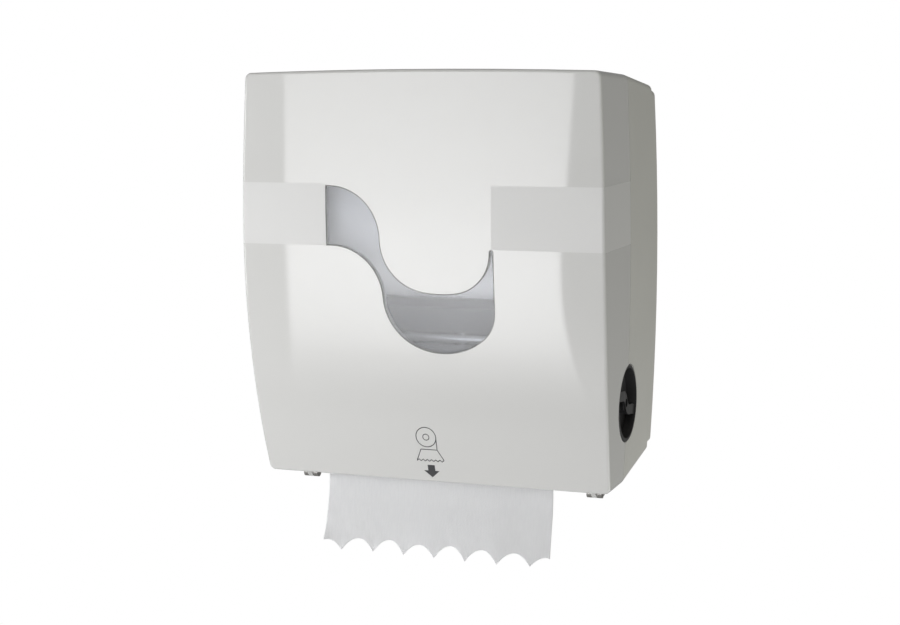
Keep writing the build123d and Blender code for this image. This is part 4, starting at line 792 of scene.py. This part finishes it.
# %% Collar and joint line
def round_window(name, grow, inset, profile, material):
    """A profile carried round the window: grow is its distance outside the
    outline, inset its depth behind the front face, in mm."""
    flat = window_edge + edge_outward * grow
    lean = np.column_stack([edge_outward[:, 0], np.zeros(len(flat)), edge_outward[:, 1]])
    rings = carry_ring(on_front(flat, inset), lean * mm, front_frame(flat) * mm, profile)
    rows, columns = rings.shape[:2]
    faces = grid_faces(rows, columns, closed_rows=True, closed_columns=True, flip=True)
    return build_piece(name, rings, faces, material)


# Painted light: the collar is a paler white than the cover's plastic.
collar_painted_light = moulded(
    "collar_painted_light", (0.84, 0.84, 0.83), (0.9, 0.9, 0.89),
    roughness=0.4, grains=1500, depth=0.02, dust=0.1,
)
collar_depth, collar_wall, collar_grow = 6.2, 1.2, 0.9
pane_flange = 1.7
collar_inset = wall + pane_flange + collar_depth / 2
collar_profile = rounded_box(collar_wall, collar_depth, 0.3)
window_collar = round_window(
    "window_collar", collar_grow, collar_inset, collar_profile, collar_painted_light
)
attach(window_collar, "cover")

joint_dirt = moulded(
    "joint_dirt", (0.23, 0.23, 0.22), (0.32, 0.32, 0.31),
    roughness=0.7, grains=900, depth=0.03, dust=0.1,
)
joint_grow, joint_inset = -0.4, 0.27
joint_profile = rounded_box(0.9, 0.3, 0.1, steps=3)
joint_line = round_window("window_joint", joint_grow, joint_inset, joint_profile, joint_dirt)
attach(joint_line, "cover")
print("collar and joint:", len(window_collar.data.polygons), len(joint_line.data.polygons), "faces")

# %% [markdown]
# ## The path of the paper
# The paper leaves the back of the roll, goes under the pinch roller, round
# the front of the drum, down through the slot and out. Seen from the side it
# is a chain of arcs and straight runs that touch. The visible tail continues
# it with one soft bend towards the user.


# %% Side view of the paper
def circle_point(radius, angle, centre):
    """Point (y, z) on a circle, the angle in degrees from +Y towards +Z."""
    return on_circle(centre, radius, math.radians(angle))


def circle_run(centre, radius, first, last, step=1.0):
    """Points along an arc, about one every step mm, without the last one."""
    count = max(4, int(abs(math.radians(last - first)) * radius / step))
    return on_circle(centre, radius, np.radians(np.linspace(first, last, count, endpoint=False)))


drum_centre, drum_radius = (-125.0, -161.0), 44.5
pinch_centre, pinch_radius = (-92.019, -113.899), 12.0
roll_radius = 88.2
clearance, ply = 0.3, 0.4
drum_run, pinch_run, roll_run = (
    radius + clearance + ply / 2 for radius in (drum_radius, pinch_radius, roll_radius)
)
leave_angle, exit_angle, nip_angle = -24.815, 185.567, 55.0
way_out = np.array([-163.0, bottom_edge])

last_touch = circle_point(drum_run, exit_angle, drum_centre)
web_side = np.concatenate(
    [
        straight(
            circle_point(roll_run, leave_angle, roll_centre),
            circle_point(pinch_run, leave_angle, pinch_centre),
            120,
        ),
        circle_run(pinch_centre, pinch_run, leave_angle, nip_angle - 180),
        circle_run(drum_centre, drum_run, nip_angle, exit_angle),
        straight(last_touch, way_out, 60),
        [way_out],
    ]
)
heading = math.degrees(math.atan2(*(way_out - last_touch)[::-1]))
tail_radius, tail_lean, tail_spare = 75.0, 15.0, 75.0
bend_centre = circle_point(tail_radius, heading - 90, way_out)
bend = circle_run(bend_centre, tail_radius, heading + 90, -tail_lean, 0.5)
bend_end = circle_point(tail_radius, -tail_lean, bend_centre)
lean_turn = math.radians(tail_lean)
tail_direction = np.array([-math.sin(lean_turn), -math.cos(lean_turn)])
hanging_on = bend_end + np.linspace(0, tail_spare, 151)[:, None] * tail_direction
tail_side = np.concatenate([bend, hanging_on])


def run_length(side):
    """Distance along a line of points, from its first point to each."""
    return np.concatenate([[0], np.cumsum(np.linalg.norm(np.diff(side, axis=0), axis=1))])


print("web", round(run_length(web_side)[-1]), "mm, leaves heading", round(heading, 1), "degrees")

# %% [markdown]
# ### The torn edge
# The knife cuts a row of points with hollow flanks between them. The edge is
# a height for each place across the paper: arcs between the points, and a
# shorter one at each side.


# %% Torn edge
cut_pitch, tip_height, hollow_height, corner_height = 30.2, -71.0, -60.0, -63.5
half_towel = 108.0
last_tip = 3 * cut_pitch
unevenness, corner_arch = 0.9, 3.4


def torn_edge(x):
    """Height of the cut (mm) at each x. Between two tips it is a parabola,
    4 s (1 - s) of its rise at a share s of the pitch, never quite the same
    twice, and towards the corners a slanted one."""
    uneven = unevenness * np.sin(2.3 * np.floor(np.asarray(x, float) / cut_pitch) + 0.8)
    x = np.abs(np.asarray(x, float))
    outer_share = (x - last_tip) / (half_towel - last_tip)
    share = np.where(x < last_tip, (x % cut_pitch) / cut_pitch, outer_share)
    arch = 4 * share * (1 - share)
    inner = tip_height + (hollow_height + uneven - tip_height) * arch
    level = tip_height + (corner_height - tip_height) * share
    return np.where(x < last_tip, inner, level + corner_arch * arch)


def crinkle(x, s, seed):
    """Slow waves in the paper (mm): a few sines that run across, along and
    askew, with phases drawn once."""
    draw = np.random.default_rng(seed)
    total = np.zeros_like(x)
    for length, height in ((160, 0.8), (70, 0.35), (34, 0.14), (17, 0.06), (9, 0.03)):
        angle, phase = draw.uniform(-0.5, 0.5), draw.uniform(0, 6.28)
        distance = x * math.cos(angle) + s * math.sin(angle)
        total += height * np.sin(distance * math.tau / length + phase)
    return total


# %% [markdown]
# ### The hanging tail
# One grid covers the tail: columns across the paper, rows from the slot down
# to the cut, so the last row lies exactly on the torn edge. Slow waves keep
# it from looking like card, and its lower left corner curls forward.

# %% Hanging tail
columns, rows = 289, 61
tips = np.arange(-3, 4) * cut_pitch
across_x = np.linspace(-half_towel, half_towel, columns)
nearest = np.abs(across_x[:, None] - tips[None]).argmin(0)
across_x[nearest] = tips
reach = run_length(tail_side)
height_along = tail_side[:, 1] - bottom_edge
s_end = np.interp(-torn_edge(across_x), -height_along, reach)
s_grid = np.linspace(0, 1, rows)[:, None] * s_end[None]
x_grid = np.broadcast_to(across_x, s_grid.shape)
y_grid = np.interp(s_grid, reach, tail_side[:, 0])
z_grid = np.interp(s_grid, reach, tail_side[:, 1])
held_length, tooth_length = 60.0, 9.0
crinkle_share, sway, sway_length = 1.6, 1.1, 190.0
curl_start, curl_width = 92.0, 16.0  # the curled corner, measured across
curl_below, curl_length = 46.0, 22.0  # and measured down the sheet
corner_forward, corner_up, tooth_forward = 5.0, 1.6, 0.7
free = np.clip(s_grid / held_length, 0, 1) ** 1.3  # 0 in the slot, 1 where it hangs free
lift = crinkle(x_grid, s_grid, seed=7) * free * crinkle_share
lift += sway * np.sin(x_grid * math.tau / sway_length + 0.6) * free
curl_across = np.clip((-x_grid - curl_start) / curl_width, 0, 1)
corner_curl = curl_across * np.clip((s_grid - curl_below) / curl_length, 0, 1)
near_cut = np.clip((s_grid - s_end + tooth_length) / tooth_length, 0, 1)
tooth_curl = near_cut**2 * np.sin(x_grid * 0.21 + 1.2)
y_grid = y_grid - lift - corner_forward * corner_curl**1.5 - tooth_forward * tooth_curl
z_grid = z_grid + corner_up * corner_curl**2
tail_points = np.stack([x_grid, y_grid, z_grid], -1) * mm
tail_flat = np.stack([x_grid, s_grid], -1) * mm
towel_end = build_piece(
    "towel_end", tail_points, grid_faces(rows, columns), towel_paper, tail_flat, crease=80
)
sheet_body = 0.32  # mm, the thickness that embossing gives a ply
thicken(towel_end, sheet_body)
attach(towel_end, "root")
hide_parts("towel_tail")
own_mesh(towel_end)

# %% [markdown]
# ### The run inside
# Between roll and slot the same sheet is stretched over rollers, so it is a
# plain ruled surface: the side view carried from one edge to the other.


# %% Paper inside
def carried_across(side, half_width, columns):
    """A side view (y, z) carried along x from one edge to the other."""
    x, row = np.meshgrid(np.linspace(-half_width, half_width, columns), np.arange(len(side)))
    return np.stack([x, side[row, 0], side[row, 1]], -1)


web_reach = run_length(web_side)
web_points = carried_across(web_side, half_towel, 73)
web_s = np.broadcast_to(web_reach[:, None], web_points.shape[:2])
web_flat = np.stack([web_points[..., 0], web_s], -1)
web_faces = grid_faces(*web_s.shape)
towel_run = build_piece(
    "towel_run", web_points * mm, web_faces, towel_paper, web_flat * mm, crease=80
)
thicken(towel_run, sheet_body)
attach(towel_run, "root")
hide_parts("towel_web")
print("run inside:", round(float(web_reach[-1])), "mm in", len(web_reach), "rows")

# %% [markdown]
# ### The roll
# A roll is a turned shape. Its ends aren't flat: the layers of paper stand at
# slightly different places, and the edges show as fine rings. The profile
# goes over one end, along the outside and back over the other end, and the
# rings follow a spiral, so they drift outwards as they go round.

# %% Wound roll
core_radius, layer_step = 20.95, 1.5
around, outer_columns = 168, 24
edge_round, end_margin, out_of_round = 0.8, 0.35, 0.22
layers = int((roll_radius - core_radius) / layer_step)
layer_places = [0.0, 0.45, 1.05]  # a groove and the two corners of a layer's edge
layer_lifts = [-0.28, 0.0, 0.0]
per_layer = len(layer_places)
end_r = core_radius + np.repeat(np.arange(layers), per_layer) * layer_step
end_r = end_r + np.tile(layer_places, layers)
draw = np.random.default_rng(21)
layer_out = np.repeat(draw.uniform(-0.25, 0.1, layers), per_layer) + np.tile(layer_lifts, layers)
outer_x = np.linspace(-half_towel + edge_round, half_towel - edge_round, outer_columns)
end_x = half_towel + layer_out + end_margin
profile_x = np.clip(np.concatenate([-end_x, outer_x, end_x[::-1]]), -half_towel, half_towel)
profile_r = np.concatenate([end_r, np.full(outer_columns, roll_radius), end_r[::-1]])
turn = np.linspace(0, math.tau, around, endpoint=False)[:, None]
spiral = layer_step * turn / math.tau
moving = np.ones((1, len(profile_x)))
moving[:, len(end_r) : -len(end_r)] = 0.0
moving[:, :per_layer] = moving[:, -per_layer:] = 0.0
wound_r = np.minimum(profile_r[None] + spiral * moving, roll_radius)
oval = np.sin(3 * turn + 0.4) * (profile_r[None] / roll_radius) ** 2
wound_r = wound_r + out_of_round * (oval - 1)
wound_x = np.broadcast_to(profile_x, wound_r.shape)
wound_y = roll_centre[0] + wound_r * np.cos(turn)
wound_z = roll_centre[1] + wound_r * np.sin(turn)
wound_points = np.stack([wound_x, wound_y, wound_z], -1)
profile_s = run_length(np.stack([profile_x, profile_r], -1))
flat_s = np.broadcast_to(turn * roll_radius, wound_r.shape)
wound_flat = np.stack([np.broadcast_to(profile_s, wound_r.shape), flat_s], -1)
wound_faces = grid_faces(*wound_r.shape, closed_rows=True, closed_columns=True, flip=True)
towel_wound = build_piece(
    "towel_wound", wound_points * mm, wound_faces, towel_paper, wound_flat * mm, crease=60
)
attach(towel_wound, "roll")
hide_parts("towel_roll")
print("roll:", layers, "ring pairs,", len(towel_wound.data.polygons), "faces")

# %% [markdown]
# ### A plate of painted shade under the roll
# A dark plate is bent round the underside of the roll and folded down at its
# front, so that the paper behind it doesn't show in the window. It is painted
# shade, dark where the inside of the case lies in shade. Its side view is an
# arc and a fold, carried from one side frame to the other.

# %% Plate of painted shade under the roll
# Painted shade: a near-black plate that makes the paper under the roll look shaded.
painted_shade_plastic = moulded(
    "painted_shade_plastic", (0.012, 0.014, 0.018), (0.022, 0.025, 0.03),
    roughness=0.6, grains=2200, dust=0.15,
)
shade_plate_radius, shade_plate_half, shade_plate_thick = 98.5, 113.8, 2.0
fold_end = (-113.0, -107.0)
shade_plate_arc = circle_run(roll_centre, shade_plate_radius, -60, -101, 2.0)
shade_plate_side = np.concatenate([shade_plate_arc, straight(shade_plate_arc[-1], fold_end, 12)[1:]])
shade_plate_points = carried_across(shade_plate_side, shade_plate_half, 41)
shade_plate_faces = grid_faces(*shade_plate_points.shape[:2])
painted_shade_plate = build_piece(
    "painted_shade_plate", shade_plate_points * mm, shade_plate_faces, painted_shade_plastic, crease=50
)
thicken(painted_shade_plate, shade_plate_thick)
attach(painted_shade_plate, "root")
print("guard:", len(shade_plate_side), "rows from", shade_plate_side[0].round(1), "to", shade_plate_side[-1].round(1))

# %% [markdown]
# ### Copies of two springs
# Two springs reach from a fixed pin to a part that moves. Each is copied as a
# piece of its own in place of the CAD part. A CAD mesh is made of loose
# triangles, so the copy is merged first into one skin and shaded smooth.


# %% Merged copies of two springs
def flexing_spring(name, stands_for, body, start, end):
    """A merged, smoothly shaded copy of a CAD spring, which hides the CAD part.
    start and end are shares of its box (across, y, z), turned into points that are not used; body
    is not used."""
    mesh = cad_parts[stands_for].data.copy()
    mesh.attributes.remove(mesh.attributes["custom_normal"])
    merged = bmesh.new()
    merged.from_mesh(mesh)
    bmesh.ops.remove_doubles(merged, verts=merged.verts, dist=0.001 * mm)
    merged.to_mesh(mesh)
    merged.free()
    shade_smooth(mesh)
    low, high = (np.array(corner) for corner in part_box(stands_for))
    start, end = (low + (high - low) * share for share in (start, end))
    piece = bpy.data.objects.new(name, mesh)
    bpy.context.scene.collection.objects.link(piece)
    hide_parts(stands_for)
    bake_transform(piece)
    return piece


coil_ends = (0.5, 0.5, 0.2), (0.5, 0.5, 0.8)
leaf_ends = (0.5, 0.7, 0.5), (0.5, 0.05, 0.5)
pinch_coils = flexing_spring("pinch_coils", "pinch_springs", "yoke", *coil_ends)
pawl_leaf = flexing_spring("pawl_leaf", "pawl_spring", "pawl", *leaf_ends)
print("springs:", len(pinch_coils.data.polygons), len(pawl_leaf.data.polygons), "faces")

# %% [markdown]
# ## The printed sign
# Above the slot a small printed sign says in pictures how to take a towel: a
# roll with its sheet and an arrow down. It is drawn as ribbons of ink of an
# even width that follow the curve of the front.


# %% Ink
sign_ink = moulded(
    "sign_ink", (0.045, 0.045, 0.05), (0.075, 0.075, 0.08),
    roughness=0.5, grains=1600, depth=0.01, dust=0.05,
)
ink_width, ink_proud = 0.75, 0.05


def ink_line(points, closed=False):
    """A ribbon of ink along points (x, height): the line moved half a width to
    each side of itself. Returns its points and whether it closes."""
    aside = aside_of(points, closed) * ink_width / 2
    return np.stack([points - aside, points + aside], 1), closed


def ring_of(centre, radius, count=72):
    """A circle of points."""
    return on_circle(centre, radius, np.linspace(0, math.tau, count, endpoint=False))


def dense(corners, step=0.8):
    """A line through corners, with a point about every step mm."""
    corners = np.asarray(corners, float)
    parts = [
        straight(a, b, max(2, int(np.linalg.norm(b - a) / step)))
        for a, b in zip(corners[:-1], corners[1:])
    ]
    return np.concatenate([*parts, corners[-1:]])


saw_pitch, saw_height, saw_level = 2.0, 1.8, 20.0
saw = [(-14.0 + saw_pitch * i, saw_level + saw_height * (i % 2)) for i in range(14)]
drawn_roll = (-3.0, 43.5)
sign_lines = [
    ink_line(ring_of(drawn_roll, 9.4), True),
    ink_line(ring_of(drawn_roll, 2.9, 36), True),
    ink_line(dense([(6.4, 43.5), (6.4, 31.5), (12.0, 21.8)])),
    ink_line(dense([(-9.0, 31.5), (-14.0, 20.0)])),
    ink_line(dense([(-9.0, 31.5), (6.4, 31.5)])),
    ink_line(dense(saw, 0.5)),
]
sign_points, sign_faces, base = [], [], 0
for ribbon, closed in sign_lines:
    faces = grid_faces(len(ribbon), 2, closed_rows=closed, flip=True)
    sign_points.append(ribbon.reshape(-1, 2))
    sign_faces.extend((faces + base).tolist())
    base += len(ribbon) * 2
arrow_shaft = [(-4.4, 16.4), (2.4, 16.4), (2.4, 10.8)]
arrow_head = [(6.4, 10.8), (-1.0, 4.2), (-8.4, 10.8), (-4.4, 10.8)]
sign_points.append(np.array(arrow_shaft + arrow_head))
sign_faces.extend([base + corner for corner in face] for face in ([0, 6, 2, 1], [6, 5, 4, 3, 2]))
flat_sign = np.concatenate(sign_points)
towel_sign = build_piece("towel_sign", on_front(flat_sign, -ink_proud), sign_faces, sign_ink)
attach(towel_sign, "cover")
print("sign:", len(sign_lines), "lines and an arrow")

# %% [markdown]
# ## Light and floor
# The front shows the soft edges of one tall softbox at the left: that is what
# makes the broad bright field on the gloss. Its place follows from the law of
# reflection, and so do its sides, each a parabola of height. Its middle is
# brighter than its rim, and its foot is dim. The rest of the light is weak and
# even, darker above and behind, so that the side stays grey.

# %% Softbox
softbox_low, softbox_high, softbox_y = -1.38, 0.46, -1.7
softbox_middle = (-0.45, softbox_y, -0.42)
share, up_box = np.meshgrid(np.linspace(0, 1, 9), np.linspace(softbox_low, softbox_high, 33))
left_side, right_side = (-0.0891, 0.0102, -0.7626), (0.0103, 0.0647, -0.2646)
across_box = np.polyval(left_side, up_box) * (1 - share) + np.polyval(right_side, up_box) * share
middle_glow, rim_glow, foot_share = 6.7, 2.0, 0.25
cloth = bpy.data.materials.new("softbox_cloth")
tree = empty_tree(cloth)
place = tree.nodes.new("ShaderNodeTexCoord").outputs["Object"]
offset = vector_sum(tree, "SUBTRACT", place, softbox_middle)["Vector"]
shrunk = vector_sum(tree, "MULTIPLY", offset, (1.2, 1.0, 0.95))["Vector"]
from_middle = vector_sum(tree, "LENGTH", shrunk)["Value"]
glow = remap(tree, from_middle, 0.05, 1.0, middle_glow, rim_glow)
foot = remap(tree, parts_of(tree, place)["Z"], -1.36, -0.8, foot_share, 1.0)
glow = scaled(tree, glow, foot)
lamp = add_node(tree, "ShaderNodeEmission", {"Color": (1.0, 1.0, 1.01), "Strength": glow})
add_node(tree, "ShaderNodeOutputMaterial", {0: lamp.outputs[0]})
softbox_points = np.stack([across_box, np.full_like(across_box, softbox_y), up_box], -1)
softbox = build_piece("softbox", softbox_points, grid_faces(*up_box.shape, flip=True), cloth)
softbox.visible_camera = False
print("softbox:", round(softbox_high - softbox_low, 2), "m tall")

# %% [markdown]
# Two smaller lamps stand close by, out of sight of the gloss: one at the left
# makes that half of the front paler, and one low at the right lifts the lower
# part of the side. A faint strip inside the case stands for the daylight that
# seeps through its thin white walls and reaches the underside of the roll.


# %% Fill lamps
def fill_lamp(name, place, aim, width, height, power):
    """A soft rectangular lamp at a place, turned towards a point."""
    light = bpy.data.lights.new(name, "AREA")
    light.shape = "RECTANGLE"
    light.size, light.size_y, light.energy = width, height, power
    holder = bpy.data.objects.new(name, light)
    turned = (Vector(place) - Vector(aim)).to_track_quat("Z", "Y").to_matrix().to_4x4()
    holder.matrix_world = Matrix.Translation(place) @ turned
    bpy.context.scene.collection.objects.link(holder)
    return holder


fill_lamp("left_fill", (-0.75, -0.6, -0.08), (0.0, -0.22, -0.08), 0.4, 0.4, 1.6)
fill_lamp("right_fill", (0.75, -0.15, -0.75), (0.17, -0.1, -0.12), 0.5, 0.5, 2.2)
seeping = fill_lamp("seeping_light", (0.02, -0.2, -0.1), (0.02, -0.18, -0.03), 0.24, 0.012, 0.024)
seeping.visible_glossy = seeping.visible_transmission = False

# %% Dim room
room = bpy.data.worlds.new("room")
tree = empty_tree(room)
toward = tree.nodes.new("ShaderNodeTexCoord").outputs["Generated"]
axes = parts_of(tree, toward)
front_glow, back_glow, ceiling_share, right_share = 0.51, 0.25, 0.62, 1.15
room_glow = remap(tree, axes["Y"], -0.8, 0.8, front_glow, back_glow)
ceiling = remap(tree, axes["Z"], 0.05, 0.6, 1.0, ceiling_share)
rightward = remap(tree, axes["X"], 0.1, 0.95, 0.0, 1.0)
wall_glow = remap(tree, rightward, 0.0, 1.0, 1.0, right_share)
dim = scaled(tree, scaled(tree, room_glow, ceiling), wall_glow)
seen = tree.nodes.new("ShaderNodeLightPath").outputs["Is Camera Ray"]
strength = sum_of(tree, "MAXIMUM", dim, seen)
tint = blend_colours(tree, rightward, (1.0, 1.0, 1.0), (1.0, 0.99, 0.86))
tint = blend_colours(tree, seen, tint, (1.0, 1.0, 1.0))
backdrop = add_node(tree, "ShaderNodeBackground", {"Color": tint, "Strength": strength})
add_node(tree, "ShaderNodeOutputWorld", {0: backdrop.outputs[0]})
bpy.context.scene.world = room
print("room:", len(tree.nodes), "nodes")

# %% Floor
floor_height, floor_half = -1.4, 30.0
floor_line = np.linspace(-floor_half, floor_half, 31)
floor_x, floor_y = np.meshgrid(floor_line, floor_line)
floor_points = np.stack([floor_x, floor_y, np.full_like(floor_x, floor_height)], -1)
paint = bpy.data.materials.new("pale_floor")
tree = empty_tree(paint)
place = tree.nodes.new("ShaderNodeTexCoord").outputs["Object"]
mottled = noise(tree, place, 3.0, 4.0)
tone = blend_colours(tree, mottled, (0.8, 0.8, 0.8), (0.84, 0.84, 0.84))
diffuse = add_node(tree, "ShaderNodeBsdfDiffuse", {"Color": tone})
white = add_node(tree, "ShaderNodeEmission", {"Color": (1.0, 1.0, 1.0), "Strength": 1.0})
seen = tree.nodes.new("ShaderNodeLightPath").outputs["Is Camera Ray"]
feeds = {0: seen, 1: diffuse.outputs[0], 2: white.outputs[0]}
mixed = add_node(tree, "ShaderNodeMixShader", feeds)
add_node(tree, "ShaderNodeOutputMaterial", {0: mixed.outputs[0]})
floor = build_piece("floor", floor_points, grid_faces(*floor_x.shape), paint)
bpy.context.scene.view_settings.view_transform = "Standard"
